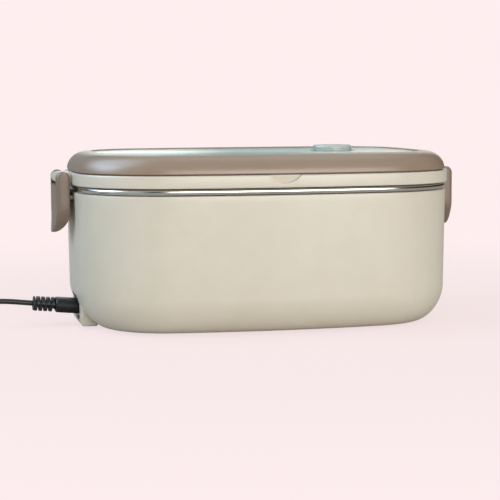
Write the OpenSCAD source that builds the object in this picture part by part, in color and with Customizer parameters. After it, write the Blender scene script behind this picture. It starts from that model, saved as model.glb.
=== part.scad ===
// Electric lunch box: a cream body with a heater in its base, a lift-out steel container,
// and a lid held by two side clips, with a hinged cover and a steam vent.
// Frame: X to the right, Y to the back, Z up; the origin lies on the table below the centre.

/* [Plan] */
// Width of the body at its rim, side to side
body_w = 224; // [212:1:236]
// Depth of the body at its rim, front to back
body_d = 168; // [158:1:178]
// Radius of the four corners in plan
corner_r = 54; // [50:1:58]
// Radius of the slight bow of the front and back
long_bow_r = 510; // [450:10:600]
// Radius of the slight bow of the two short sides
short_bow_r = 490; // [430:10:600]

/* [Body] */
// Height of the base above the table, on its feet
foot_h = 1.5; // [1:0.1:2]
// Height of the body shell
body_h = 78.5; // [75:0.5:84]
// Wall of the body shell
body_wall = 2.4; // [2:0.1:2.6]
// Inset of the shell at its rim from the plan outline
rim_inset = 0.4; // [0.2:0.1:0.8]
// Inset of the shell at the foot of its straight wall
waist_inset = 1.4; // [1:0.1:2]
// Width of the rounding between wall and base
round_w = 15; // [12:1:16]
// Height of the rounding between wall and base
round_h = 20; // [16:1:22]
// Power of the rounding: 2 is an ellipse, less is flatter
round_power = 1.7; // [1.5:0.1:2]
// Width of the ledge that carries the tub, under the rim
ledge_w = 2.4; // [2:0.1:2.6]
// Thickness of both ledges
ledge_t = 1.6; // [1.4:0.1:2]
// Height of the rim above the tub's ledge
flange_t = 2; // [1.6:0.1:2.2]

/* [Base cover] */
// Inset of the opening that the base cover closes
opening_inset = 20; // [18.5:0.5:21]
// Thickness of the base cover
cover_plate_t = 2.6; // [2.4:0.1:3]
// Width of the ledge above the base cover's edge
cover_ledge_w = 4; // [3:0.5:4.5]
// Distance of the screws from the short sides
screw_from_side = 38; // [34:1:42]
// Distance of the screws from the front and back
screw_from_front = 40; // [36:1:44]
// Radius of the base screws' thread
screw_r = 1.5; // [1.3:0.1:1.7]
// Radius of the base screws' heads
screw_head_r = 2.8; // [2.6:0.1:3.1]
// Thickness of the base screws' heads
screw_head_t = 1.3; // [1.1:0.1:1.4]
// Depth of the screw heads' seats below the base cover's face
screw_sink = 1.6; // [1.5:0.1:1.8]
// Depth of the screws' bores in the posts
post_bore = 9; // [8:0.5:10]
// Radius of the posts that take the base screws
post_r = 4; // [3.5:0.1:4.5]
// Radius of a rubber foot
foot_r = 6; // [5:0.5:7]
// Distance of a foot from its screw, towards the middle
foot_in_x = 16; // [13:1:20]
// Distance of a foot from its screw, front to back
foot_in_y = 10; // [6:1:14]
// Depth that a foot sits in the base cover
foot_seat = 0.8; // [0.5:0.1:1]
// Thickness of the insulation sheet
pad_t = 1.2; // [0.8:0.1:1.5]
// Inset of the insulation sheet
pad_inset = 31; // [30:0.5:34]

/* [Tub and heater] */
// Wall of the inner tub
tub_wall = 1.6; // [1.4:0.1:1.8]
// Room between the base cover and the tub
tub_lift = 11.3; // [11:0.1:13]
// Thickness of the tub's floor
tub_floor_t = 2; // [1.8:0.1:2.4]
// Thickness of the aluminium heating plate
plate_t = 2.5; // [2:0.1:3]
// Inset of the heating plate
plate_inset = 28; // [27.5:0.5:32]
// Length of one heater block
heater_l = 58; // [50:1:62]
// Width of one heater block
heater_w = 22; // [18:1:26]
// Thickness of one heater block
heater_t = 5; // [4:0.2:5.4]
// Gap between the two heater blocks
heater_gap = 8; // [4:1:12]
// Width of the clamp bar under the heater blocks
clamp_w = 14; // [10:1:16]
// Thickness of the clamp bar
clamp_t = 1.2; // [1:0.1:1.5]
// Radius of the clamp screws' thread
clamp_screw_r = 1.2; // [1:0.1:1.4]
// Radius of the thermostat
thermostat_r = 8; // [7:0.5:8.5]
// Height of the thermostat
thermostat_h = 7.5; // [6.5:0.5:8]
// Distance of the thermostat behind the centre
thermostat_y = 33; // [32:1:36]
// Radius of the thermal fuse
fuse_r = 2; // [1.8:0.1:2.2]
// Length of the thermal fuse
fuse_l = 11; // [10:1:13]
// Radius of the inner wires
wire_r = 0.9; // [0.7:0.1:1]

/* [Container] */
// Inset of the container's wall at its mouth
pot_inset = 8.2; // [8:0.1:8.8]
// Extra inset of the container's wall at the foot of its straight part
pot_draft = 1.4; // [1:0.1:1.8]
// Thickness of the steel
pot_t = 1; // [0.8:0.1:1.2]
// Width of the rounding at the container's bottom
pot_round_w = 16; // [14:1:17]
// Height of the rounding at the container's bottom
pot_round_h = 17; // [14:1:20]
// Height of the rolled rim
bead_h = 3.5; // [3:0.1:4]
// Inset of the rolled rim's outer face
bead_inset = 0.7; // [0.5:0.1:1]
// Room between the container and the tub
pot_room = 1; // [0.8:0.1:1.2]

/* [Lid] */
// Overhang of the lid ring past the plan outline
ring_over = 0.7; // [0.4:0.1:1]
// Height of the lid ring
ring_h = 8; // [7.6:0.1:9]
// Wall of the lid ring
ring_wall = 4; // [3.6:0.1:4.4]
// Thickness of the tray floor in the lid
tray_t = 2; // [1.6:0.1:2.2]
// Height of the seal's groove under the tray floor
groove_h = 2; // [1.8:0.1:2.4]
// Width of the silicone seal
seal_w = 3.8; // [3.4:0.1:3.9]
// Depth of the skirt that reaches into the container
skirt_h = 4; // [3:0.5:6]
// Wall of the skirt
skirt_wall = 1.7; // [1.4:0.1:2]
// Width of the finger notch in the ring's front
notch_w = 17; // [14:1:20]
// Height of the finger notch
notch_h = 4; // [3:0.5:5]
// Depth of the finger notch
notch_depth = 1.6; // [1.2:0.1:2]

/* [Hinged cover] */
// Height of the hinged cover
cover_h = 10.3; // [9.8:0.1:11]
// Inset of the cover's edge
cover_inset = 0.8; // [0.6:0.1:1.2]
// Height of the cover's upright edge
cover_edge_h = 1.8; // [1.5:0.1:2.2]
// Width of the cover's shoulder
shoulder_w = 12; // [11:1:13]
// Wall of the cover
cover_wall = 2.4; // [2:0.1:2.8]
// Inset of the window's opening
window_inset = 19.5; // [19:0.5:22]
// Width of the ledge that carries the window
window_ledge_w = 3.5; // [3:0.5:5]
// Thickness of the window
window_t = 1.4; // [1.2:0.1:1.5]
// Radius of the hinge knuckles
knuckle_r = 2.4; // [2.2:0.1:2.4]
// Radius of the hinge pin
hinge_pin_r = 1; // [0.8:0.1:1.1]
// Length of the lid's knuckle
lid_knuckle_l = 24; // [18:1:30]
// Length of each of the cover's two knuckles
cover_knuckle_l = 8; // [6:1:10]

/* [Steam vent] */
// Distance of the vent to the right of the centre
vent_x = 50; // [40:1:54]
// Outer radius of the vent's chimney
chimney_r = 8.5; // [8.2:0.1:9]
// Bore radius of the chimney
chimney_bore_r = 5.5; // [5:0.1:6]
// Radius of the vent cap
cap_r = 12; // [11.5:0.1:12.5]
// Height of the cap above the cover
cap_rise = 2.8; // [2:0.1:3.4]
// Thickness of the cap's top
cap_t = 4.3; // [3.8:0.1:4.6]
// Rounding of the cap's edge
cap_round = 1.5; // [1:0.1:1.8]
// Depth of the cap's skirt round the chimney
cap_skirt_h = 6; // [5:0.5:7]
// Wall of the cap's skirt
cap_skirt_t = 1.4; // [1.2:0.1:1.6]
// Depth of the plug under the cap
cap_plug_h = 4; // [3:0.5:5]

/* [Clips] */
// Width of a clip
clip_w = 40; // [36:1:44]
// Thickness of a clip
clip_t = 6.8; // [6.4:0.2:7.2]
// Length of a clip below its pin
clip_l = 32.5; // [30:0.5:34]
// Room between the clip and the lid ring
clip_gap = 2.3; // [2.1:0.1:2.8]
// Height of the clip's pin above the ring's lower edge
clip_pin_up = 3.8; // [3.7:0.1:4.2]
// Radius of the clip's pin
clip_pin_r = 1; // [0.8:0.1:1.2]
// Width of the ear between the clip's two arms
ear_w = 28; // [24:1:30]
// Radius of the clip's rounded end seen from the side
clip_end_r = 22; // [22:0.5:26]
// Height of the catch ridge inside the clip
ridge_h = 2.8; // [2.4:0.1:3]
// Width of the catch ridge
ridge_w = 33; // [28:1:34]
// Distance of the catch ridge below the body's rim
ridge_drop = 1.8; // [1.6:0.1:2.2]
// Depth of the catch slot in the body
slot_depth = 1.6; // [1.4:0.1:1.7]

/* [Inlet and lead] */
// Distance of the inlet's face in from the body's side
inlet_in = 11; // [9:0.5:11.5]
// Height of the inlet's axis
inlet_z = 10.2; // [10:0.1:10.6]
// Tilt of the inlet and lead, rising outwards
lead_tilt = 5; // [3:1:6]
// Half the distance between the two pins
pin_half = 3.4; // [3:0.1:3.6]
// Half the thickness of the lead's connector
connector_r = 4.35; // [4.2:0.05:4.4]
// Length of the connector outside the inlet
connector_l = 20.7; // [18:0.5:24]
// Length of the connector's nose
nose_l = 11.5; // [10:0.5:12]
// Radius of an inlet pin
pin_r = 1.2; // [1:0.1:1.3]
// Length of the connector's strain relief
relief_l = 13.3; // [12:0.1:16]
// Number of slots on each side of the strain relief
relief_slots = 4; // [3:1:4]
// Wall of the inlet round the connector
snout_wall = 1.1; // [0.9:0.05:1.1]
// Floor of the pocket round the connector
pocket_floor_t = 2.5; // [2.2:0.1:2.6]
// Height of the pocket's back above the table
pocket_top = 17; // [16.5:0.5:18]
// Slope of the pocket's roof, rising outwards
pocket_slope = 22; // [15:1:26]
// Half width of the pocket round the connector
pocket_half = 12.5; // [12:0.5:14]
// Half width of the block under the inlet
block_half = 25; // [22:1:28]
// Distance of the block's outer face in from the body's side
block_in = 3.5; // [2.5:0.5:5]
// Radius of the lead
cord_r = 1.6; // [1.5:0.05:1.65]
// Distance between neighbouring turns and layers of the coiled lead
coil_pitch = 3.8; // [3.7:0.05:4]
// Largest centre radius of the coil
coil_r = 22.9; // [22:0.1:24]
// Width of the plug
plug_w = 24; // [20:1:28]
// Thickness of the plug
plug_t = 14; // [13:0.5:14]
// Length of the plug's body
plug_l = 28; // [24:1:32]
// Length of the plug's blades
blade_l = 16; // [14:0.5:18]
// Width of a blade
blade_w = 6.3; // [6:0.1:6.5]
// Thickness of a blade
blade_t = 1.5; // [1.4:0.1:1.7]
// Distance between the two blades
blade_pitch = 12.7; // [12:0.1:13]
// Width of the tie round the coil
tie_w = 6; // [4:1:8]

/* [Hidden] */

// Clearances
flat_gap = 0.3;
lid_gap = 0.4;
cover_gap = 0.2;
seal_gap = 0.1;
slide_gap = 0.4;
fit_gap = 0.02;
run_gap = 0.06;
cut = 1;

// Steps round the plan outline
short_steps = 3;
long_steps = 6;
corner_steps = 9;

// Heights
base_low = foot_h;
cover_plate_top = base_low + cover_plate_t;
body_top = base_low + body_h;
round_top = base_low + round_h;
tub_low = cover_plate_top + tub_lift;
tub_floor = tub_low + tub_floor_t;
plate_top = tub_floor + plate_t;
pot_low = plate_top + flat_gap;
bead_low = body_top + flat_gap;
rim_top = bead_low + bead_h;
ring_low = rim_top + lid_gap;
ring_top = ring_low + ring_h;
tray_low = ring_low + groove_h;
tray_top = tray_low + tray_t;
cover_low = ring_top + cover_gap;
cover_top = cover_low + cover_h;
window_low = cover_top - window_t;
pocket_low = base_low + pocket_floor_t;
ledge_top = body_top - flange_t;

// Cream, taupe and the other colours
cream = "#dcd6c6";
taupe = "#9a8a78";
steel = "#b9b9b6";
dark = "#2c2c2e";

// Outline in plan, drawn in by an inset; its arcs share their centres at every inset
long_c = [0, body_d / 2 - long_bow_r];
short_c = [body_w / 2 - short_bow_r, 0];
centres = norm(short_c - long_c);
to_long = long_bow_r - corner_r;
to_short = short_bow_r - corner_r;
along = (to_long * to_long - to_short * to_short + centres * centres) / (2 * centres);
across = sqrt(to_long * to_long - along * along);
run = (short_c - long_c) / centres;
corner_c = long_c + along * run + across * [run[1], -run[0]];
long_t = atan2(corner_c[1] - long_c[1], corner_c[0]);
short_t = atan2(corner_c[1], corner_c[0] - short_c[0]);

function arc(centre, radius, from, to, steps) =
    [for (i = [0 : steps - 1]) let (t = from + (to - from) * i / steps)
        centre + radius * [cos(t), sin(t)]];

function outline(inset) = concat(
    arc(short_c, short_bow_r - inset, -short_t, short_t, short_steps),
    arc(corner_c, corner_r - inset, short_t, long_t, corner_steps),
    arc(long_c, long_bow_r - inset, long_t, 180 - long_t, long_steps),
    arc([-corner_c[0], corner_c[1]], corner_r - inset, 180 - long_t, 180 - short_t, corner_steps),
    arc(-short_c, short_bow_r - inset, 180 - short_t, 180 + short_t, short_steps),
    arc(-corner_c, corner_r - inset, 180 + short_t, 180 + long_t, corner_steps),
    arc(-long_c, long_bow_r - inset, 180 + long_t, 360 - long_t, long_steps),
    arc([corner_c[0], -corner_c[1]], corner_r - inset, 360 - long_t, 360 - short_t, corner_steps));

ring_n = len(outline(0));

// Rounding from a flat bottom up into a wall, as pairs of inset and height
function foot_round(inset, low, w, h, steps) =
    [for (i = [0 : steps]) let (t = 90 * i / steps)
        [inset + w * (1 - pow(sin(t), 2 / round_power)),
         low + h * (1 - pow(cos(t), 2 / round_power))]];

// Rounding from a wall up onto a flat top
function shoulder(inset, low, w, h, steps) =
    [for (i = [0 : steps]) let (t = 90 * i / steps)
        [inset + w * (1 - pow(cos(t), 4 / 3)), low + h * pow(sin(t), 4 / 3)]];

function backwards(list) = [for (i = [len(list) - 1 : -1 : 0]) list[i]];

function ring_points(profile) =
    [for (p = profile) for (q = outline(p[0])) [q[0], q[1], p[1]]];

function quads(first, next, n) =
    [for (j = [0 : n - 1]) let (k = (j + 1) % n)
        [first * n + j, next * n + j, next * n + k, first * n + k]];

// Solid through a row of outlines, closed flat at both ends
module loft(profile) {
    last = len(profile) - 1;
    polyhedron(ring_points(profile), concat(
        [for (i = [0 : last - 1]) each quads(i, i + 1, ring_n)],
        [[for (j = [0 : ring_n - 1]) j],
         [for (j = [ring_n - 1 : -1 : 0]) last * ring_n + j]]));
}

// Ring-shaped solid: the row of outlines closes on itself
module loft_ring(profile) {
    count = len(profile);
    polyhedron(ring_points(profile),
        [for (i = [0 : count - 1]) each quads(i, (i + 1) % count, ring_n)]);
}

module plate(inset, low, high) {
    translate([0, 0, low]) linear_extrude(high - low) polygon(outline(inset));
}

module band(outer, inner, low, high) {
    translate([0, 0, low]) linear_extrude(high - low) difference() {
        polygon(outline(outer));
        polygon(outline(inner));
    }
}

// Box from its low corner to its high corner
module box(low, high) {
    translate(low) cube(high - low);
}

module along_y(x, z, r, half) {
    translate([x, half, z]) rotate([90, 0, 0]) cylinder(h = 2 * half, r = r, $fn = 48);
}

module along_x(y, z, r, from, to) {
    translate([from, y, z]) rotate([0, 90, 0]) cylinder(h = to - from, r = r, $fn = 48);
}

module at_corners(x, y) {
    for (i = [-1, 1]) for (j = [-1, 1]) translate([i * x, j * y, 0]) children();
}

// Places of the screws and feet
screw_x = body_w / 2 - screw_from_side;
screw_y = body_d / 2 - screw_from_front;
foot_x = screw_x - foot_in_x;
foot_y = screw_y - foot_in_y;
head_seat = base_low + screw_sink;

// Clip and catch
clip_in = body_w / 2 + ring_over + clip_gap;
clip_pin_x = clip_in + clip_t / 2;
clip_pin_z = ring_low + clip_pin_up;
clip_low = clip_pin_z - clip_l;
ridge_top = body_top - ridge_drop;
slot_low = ridge_top - ridge_h - 1.8; // the ridge swings down as it leaves
slot_top = ridge_top + slide_gap;
slot_in = body_w / 2 - rim_inset - slot_depth;

inlet_out = body_w / 2 - inlet_in;
block_out = body_w / 2 - block_in;

// Inlet: children are drawn with the lead running out along minus X
module at_inlet() {
    translate([-inlet_out, 0, inlet_z]) rotate([0, lead_tilt, 0]) children();
}

module stadium(half, r) {
    square([2 * r, 2 * half], center = true);
    for (i = [-1, 1]) translate([0, i * half]) circle(r, $fn = 48);
}

// Stadium bar from one place to another along the lead's axis
module lead_bar(half, r, from, to) {
    translate([to, 0, 0]) rotate([0, -90, 0]) linear_extrude(to - from) stadium(half, r);
}

snout_h = 2 * (connector_r + snout_wall);
snout_w = snout_h + 2 * pin_half;
socket_l = nose_l + 2;
pin_l = nose_l - 3;
pin_tail = 3;

// Room for the inlet, and for its pins behind it
module inlet_room() {
    at_inlet() box([-2, -snout_w / 2 - fit_gap, -snout_h / 2 - fit_gap],
        [socket_l + pin_tail + cut, snout_w / 2 + fit_gap, snout_h / 2 + fit_gap]);
}

// Body shell

module body_profile() {
    loft_ring(concat(
        [[opening_inset, base_low]],
        foot_round(waist_inset, base_low, round_w, round_h, 6),
        [[rim_inset, body_top],
         [rim_inset + body_wall, body_top],
         [rim_inset + body_wall, ledge_top],
         [rim_inset + body_wall + ledge_w, ledge_top],
         [rim_inset + body_wall + ledge_w, ledge_top - ledge_t],
         [rim_inset + body_wall, ledge_top - ledge_t - ledge_w]],
        backwards(foot_round(waist_inset + body_wall, cover_plate_top + ledge_t,
            round_w, round_top - cover_plate_top - ledge_t, 4)),
        [[opening_inset + cover_ledge_w, cover_plate_top + ledge_t],
         [opening_inset + cover_ledge_w, cover_plate_top],
         [opening_inset, cover_plate_top]]));
}

block_wall = inlet_out - 2;
side_room = (block_half - pocket_half) / 2;

module pocket() {
    box([-body_w / 2 - 4, -pocket_half, pocket_low], [-inlet_out, pocket_half, pocket_top]);
    translate([-inlet_out, 0, pocket_top]) rotate([0, pocket_slope, 0])
        box([-24, -pocket_half, -6], [0, pocket_half, 0]);
}

module body_shell() color(cream) difference() {
    union() {
        body_profile();
        box([-block_out, -block_half, base_low], [-block_wall, block_half, pocket_top - 2]);
        box([-block_out, -pocket_half - 2, base_low], [-block_wall, pocket_half + 2, pocket_top + 6]);
    }
    pocket();
    for (i = [-1, 1]) translate([0, i * (pocket_half + side_room), 0])
        box([-block_out + body_wall, 2 - side_room, base_low + body_wall],
            [-block_wall + cut, side_room - 2, pocket_top - 5]);
    inlet_room();
    for (i = [0, 1]) mirror([i, 0, 0])
        box([slot_in, -ridge_w / 2 - slide_gap, slot_low],
            [body_w / 2 + 4, ridge_w / 2 + slide_gap, slot_top]);
}

// Inner tub, plate and heater

opening_x = heater_l + heater_gap / 2 + 6;
opening_y = heater_w / 2 + 4;
clamp_x = opening_x + 7;
clamp_post_h = heater_t - tub_floor_t;
terminal_l = 5;

module inner_tub() color("#e8e6df") {
    tub_in = pot_inset - pot_room;
    foot_z = pot_low + pot_round_h;
    difference() {
        union() {
            loft(concat(
                foot_round(tub_in + pot_draft - tub_wall, tub_low,
                    pot_round_w + tub_wall, foot_z - tub_low, 4),
                [[tub_in - tub_wall, ledge_top],
                 [rim_inset + body_wall + flat_gap, ledge_top],
                 [rim_inset + body_wall + flat_gap, body_top],
                 [tub_in, body_top]],
                backwards(foot_round(tub_in + pot_draft, tub_floor,
                    pot_round_w, foot_z - tub_floor, 4))));
            at_corners(screw_x, screw_y)
                translate([0, 0, cover_plate_top]) cylinder(h = tub_lift + 1, r = post_r, $fn = 48);
            for (i = [-1, 1]) translate([i * clamp_x, 0, tub_floor - heater_t])
                cylinder(h = clamp_post_h + 1, r = post_r, $fn = 48);
            translate([fuse_x, fuse_y, tub_low]) box([-3, -fuse_r - 1, -fuse_r], [3, fuse_r + 1, 1]);
        }
        box([-opening_x, -opening_y, tub_low - cut], [opening_x, opening_y, tub_floor + cut]);
        translate([0, thermostat_y, tub_low - cut])
            cylinder(h = tub_floor_t + 2 * cut, r = thermostat_r + flat_gap, $fn = 48);
        at_corners(screw_x, screw_y) translate([0, 0, cover_plate_top - cut])
            cylinder(h = post_bore + cut, r = screw_r + fit_gap, $fn = 48);
        for (i = [-1, 1]) translate([i * clamp_x, 0, tub_floor - heater_t - cut])
            cylinder(h = clamp_post_h + cut, r = clamp_screw_r + fit_gap, $fn = 48);
        translate([fuse_x, fuse_y, fuse_z]) rotate([0, 90, 0])
            cylinder(h = 2 * fuse_l, r = fuse_r + fit_gap, center = true, $fn = 48);
    }
}

module heating_plate() color("#c4c6c8") plate(plate_inset, tub_floor, plate_top);

module heater_blocks() color("#d9d4c0") for (i = [-1, 1])
    translate([i * (heater_l + heater_gap) / 2, 0, tub_floor - heater_t / 2])
        cube([heater_l, heater_w, heater_t], center = true);

module heater_clamp() color(steel) difference() {
    box([-clamp_x - post_r, -clamp_w / 2, tub_floor - heater_t - clamp_t],
        [clamp_x + post_r, clamp_w / 2, tub_floor - heater_t]);
    for (i = [-1, 1]) translate([i * clamp_x, 0, tub_floor - heater_t - clamp_t - cut])
        cylinder(h = clamp_t + 2 * cut, r = clamp_screw_r + fit_gap, $fn = 48);
}

module clamp_screws() color("silver") for (i = [-1, 1])
    translate([i * clamp_x, 0, tub_floor - heater_t - clamp_t]) {
        cylinder(h = clamp_t + clamp_post_h - 0.2, r = clamp_screw_r, $fn = 48);
        translate([0, 0, -1.2]) cylinder(h = 1.2, r = 2 * clamp_screw_r, $fn = 48);
    }

module thermostat() color("#3a3030") translate([0, thermostat_y, 0]) {
    translate([0, 0, tub_floor - thermostat_h]) cylinder(h = thermostat_h, r = thermostat_r, $fn = 48);
    box([-terminal_x, -4, tub_low - 0.8], [terminal_x, 4, tub_low]);
    box([-terminal_x, -2, thermostat_z - 0.4], [terminal_x, 2, thermostat_z + 0.4]);
}

terminal_x = thermostat_r + terminal_l;
thermostat_z = tub_floor - thermostat_h + 1.6;
fuse_x = -30;
fuse_y = -opening_y - 8;
fuse_z = tub_low - fuse_r;

module thermal_fuse() color("#f4f2ee") translate([fuse_x, fuse_y, fuse_z]) rotate([0, 90, 0])
    cylinder(h = fuse_l, r = fuse_r, center = true, $fn = 48);

module wire(points) {
    tube(points, 8, wire_r);
}

tail_x = -inlet_out + (socket_l + pin_tail) * cos(lead_tilt);
tail_z = inlet_z - (socket_l + pin_tail) * sin(lead_tilt);
wire_z = tail_z + 0.6;
wire_lead = 3;
wire_turn = 5;
heater_end = heater_l + heater_gap / 2;
heater_z = tub_floor - heater_t / 2;
clamp_edge = clamp_w / 2 + 2;

// The first stretch of a wire, straight back from a pin of the inlet
function from_pin(side) = [[tail_x + 2 * seal_gap, side * pin_half, tail_z],
    [tail_x + wire_lead, side * pin_half, tail_z],
    [tail_x + wire_lead + wire_turn, side * (pin_half + wire_turn), wire_z]];

module live_wires() color("#8a4a2a") {
    wire(concat(from_pin(1), [[-heater_end + wire_turn, opening_y + wire_turn, wire_z],
        [-terminal_x - wire_turn, thermostat_y, thermostat_z],
        [-terminal_x, thermostat_y, thermostat_z]]));
    wire([[terminal_x, thermostat_y, thermostat_z],
        [terminal_x + wire_turn, thermostat_y, thermostat_z],
        [heater_end + wire_turn, opening_y + wire_lead, wire_z],
        [heater_end + wire_turn, clamp_edge, heater_z], [heater_end, clamp_edge, heater_z]]);
}

module neutral_wires() color("#3b5f86") {
    wire_y = -heater_w / 2 + wire_lead;
    fuse_end = fuse_l / 2;
    wire(concat(from_pin(-1), [[-heater_end + wire_turn, fuse_y, wire_z],
        [fuse_x - fuse_end - wire_turn, fuse_y, fuse_z], [fuse_x - fuse_end, fuse_y, fuse_z]]));
    wire([[fuse_x + fuse_end, fuse_y, fuse_z], [fuse_x + fuse_end + wire_turn, fuse_y, fuse_z],
        [0, wire_y - wire_turn, heater_z - wire_lead], [0, wire_y, heater_z - 1],
        [heater_gap / 2, wire_y, heater_z - 1]]);
}

module insulation_pad() color("#b8a98a") difference() {
    plate(pad_inset, cover_plate_top, cover_plate_top + pad_t);
    at_corners(screw_x, screw_y) translate([0, 0, cover_plate_top - cut])
        cylinder(h = pad_t + 2 * cut, r = post_r + flat_gap, $fn = 48);
}

module base_cover() color("#cfc8b8") difference() {
    plate(opening_inset + flat_gap, base_low, cover_plate_top);
    at_corners(screw_x, screw_y) {
        translate([0, 0, base_low - cut])
            cylinder(h = head_seat - base_low + cut, r = screw_head_r + flat_gap, $fn = 48);
        translate([0, 0, base_low]) cylinder(h = cover_plate_t + cut, r = screw_r + fit_gap, $fn = 48);
    }
    at_corners(foot_x, foot_y) translate([0, 0, base_low - cut])
        cylinder(h = foot_seat + cut, r = foot_r + fit_gap, $fn = 48);
    inlet_room();
}

module base_screws() color("silver") at_corners(screw_x, screw_y) {
    translate([0, 0, head_seat - screw_head_t])
        cylinder(h = screw_head_t, r = screw_head_r, $fn = 48);
    translate([0, 0, head_seat]) cylinder(h = post_bore - 1, r = screw_r, $fn = 48);
}

module rubber_feet() color("#3c3c3c") at_corners(foot_x, foot_y)
    cylinder(h = foot_h + foot_seat, r = foot_r, $fn = 48);

// Inlet

module inlet_socket() color(dark) at_inlet() difference() {
    box([0, -snout_w / 2, -snout_h / 2], [socket_l, snout_w / 2, snout_h / 2]);
    lead_bar(pin_half, connector_r, -cut, nose_l + 0.5);
    for (i = [-1, 1]) along_x(i * pin_half, 0, pin_r, 0, socket_l + cut);
}

module inlet_pins() color("#c8b560") at_inlet() for (i = [-1, 1])
    along_x(i * pin_half, 0, pin_r, nose_l - pin_l, socket_l + pin_tail);

// Food container

module food_container() color(steel) {
    wall = pot_inset + pot_draft;
    bead_mid = bead_inset + bead_h / 2;
    bead_z = bead_low + bead_h / 2;
    loft(concat(
        foot_round(wall, pot_low, pot_round_w, pot_round_h, 4),
        [[pot_inset, rim_top - 1.4], [bead_inset + bead_h + 0.4, rim_top - 1.4]],
        [for (t = [-40 : -35 : -215])
            [bead_mid - bead_h / 2 * cos(t + 180), bead_z + bead_h / 2 * sin(t)]],
        [[bead_mid, rim_top], [pot_inset - 0.2, rim_top], [pot_inset + pot_t, rim_top - 1]],
        backwards(foot_round(wall + pot_t, pot_low + pot_t,
            pot_round_w, pot_round_h - pot_t, 4))));
}

// Lid

skirt_room = 0.7;
seal_out = bead_inset + bead_h + skirt_room;
seal_in = seal_out + seal_w;
skirt_out = pot_inset + pot_t + skirt_room;
notch_r = (notch_w * notch_w / 4 + notch_h * notch_h) / (2 * notch_h);
hinge_y = body_d / 2 + 1;
hinge_z = ring_top + cover_gap / 2;
knuckle_end = lid_knuckle_l / 2 + flat_gap + cover_knuckle_l;
hinge_room = knuckle_r + slide_gap;

module ear() {
    ear_r = clip_t / 2 - 0.2;
    along_y(clip_pin_x, clip_pin_z, ear_r, ear_w / 2);
    box([body_w / 2 - 1, -ear_w / 2, clip_pin_z - ear_r], [clip_pin_x, ear_w / 2, clip_pin_z + ear_r]);
}

module lid_frame() color(cream) difference() {
    union() {
        band(-ring_over, ring_wall - ring_over, ring_low, ring_top);
        plate(1, tray_low, tray_top);
        band(1, seal_out - 0.1, ring_low, tray_low + 0.5);
        band(skirt_out, skirt_out + skirt_wall, ring_low - skirt_h, tray_low + 0.5);
        for (i = [0, 1]) mirror([i, 0, 0]) ear();
        along_x(hinge_y, hinge_z, knuckle_r, -lid_knuckle_l / 2, lid_knuckle_l / 2);
        translate([vent_x, 0, tray_low]) cylinder(h = chimney_top - tray_low, r = chimney_r, $fn = 64);
    }
    translate([vent_x, 0, tray_low - cut])
        cylinder(h = chimney_top - tray_low + 2 * cut, r = chimney_bore_r, $fn = 64);
    for (i = [0, 1]) mirror([i, 0, 0]) {
        along_y(clip_pin_x, clip_pin_z, clip_pin_r + run_gap, ear_w / 2 + cut);
        along_x(hinge_y, hinge_z, hinge_room, lid_knuckle_l / 2, knuckle_end + flat_gap);
    }
    along_x(hinge_y, hinge_z, hinge_pin_r, -lid_knuckle_l / 2 - cut, lid_knuckle_l / 2 + cut);
    translate([0, -body_d / 2 - ring_over + notch_depth, ring_top + notch_r - notch_h])
        rotate([90, 0, 0]) cylinder(h = 2 * notch_depth, r = notch_r, $fn = 96);
}

module lid_seal() color("#e9e7e2") band(seal_out, seal_in, rim_top + seal_gap, tray_low);

module cover_hinge_pin() color("silver")
    along_x(hinge_y, hinge_z, hinge_pin_r, -knuckle_end, knuckle_end);

// Hinged cover and window

module hinged_cover() color(taupe) difference() {
    union() {
        loft_ring(concat(
            [[cover_inset, cover_low]],
            shoulder(cover_inset, cover_low + cover_edge_h, shoulder_w,
                cover_h - cover_edge_h - 0.2, 6),
            [[window_inset, cover_top],
             [window_inset, window_low],
             [window_inset + window_ledge_w, window_low],
             [window_inset + window_ledge_w, window_low - 1.3]],
            backwards(shoulder(cover_inset + cover_wall, cover_low + cover_edge_h,
                shoulder_w - 0.4, cover_h - cover_edge_h - window_t - 1.5, 4)),
            [[cover_inset + cover_wall, cover_low]]));
        for (i = [0, 1]) mirror([i, 0, 0]) {
            along_x(hinge_y, hinge_z, knuckle_r, lid_knuckle_l / 2 + flat_gap, knuckle_end);
            box([lid_knuckle_l / 2 + flat_gap, hinge_y - 3.2, cover_low],
                [knuckle_end, hinge_y, hinge_z + knuckle_r]);
        }
    }
    along_x(hinge_y, hinge_z, hinge_room, -lid_knuckle_l / 2 - flat_gap, lid_knuckle_l / 2 + flat_gap);
    along_x(hinge_y, hinge_z, hinge_pin_r + run_gap, -knuckle_end - cut, knuckle_end + cut);
}

window_hole_r = cap_r + cap_rise - 1;

module cover_window() color("#dfe6e0", 0.6) difference() {
    plate(window_inset + flat_gap, window_low, cover_top);
    translate([vent_x, 0, window_low - cut])
        cylinder(h = window_t + 2 * cut, r = window_hole_r, $fn = 64);
}

// Steam vent

cap_top = cover_top + cap_rise;
cap_low = cap_top - cap_t;
chimney_top = cap_low - seal_gap;
cap_skirt_r = chimney_r + slide_gap;

module vent_cap() color("#d8d6cf") translate([vent_x, 0, 0]) rotate_extrude($fn = 96) difference() {
    union() {
        translate([0, cap_low]) square([cap_r - cap_round, cap_t]);
        translate([0, cap_low]) square([cap_r, cap_t - cap_round]);
        translate([cap_r - cap_round, cap_top - cap_round]) circle(cap_round, $fn = 48);
        translate([cap_skirt_r, chimney_top - cap_skirt_h]) square([cap_skirt_t, cap_skirt_h + cap_t / 2]);
        translate([0, chimney_top - cap_plug_h])
            square([chimney_bore_r - slide_gap, cap_plug_h + cap_t / 2]);
    }
    translate([-cap_r, chimney_top - cap_r]) square([cap_r, 3 * cap_r]);
}

// Side clips, drawn on the right

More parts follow.
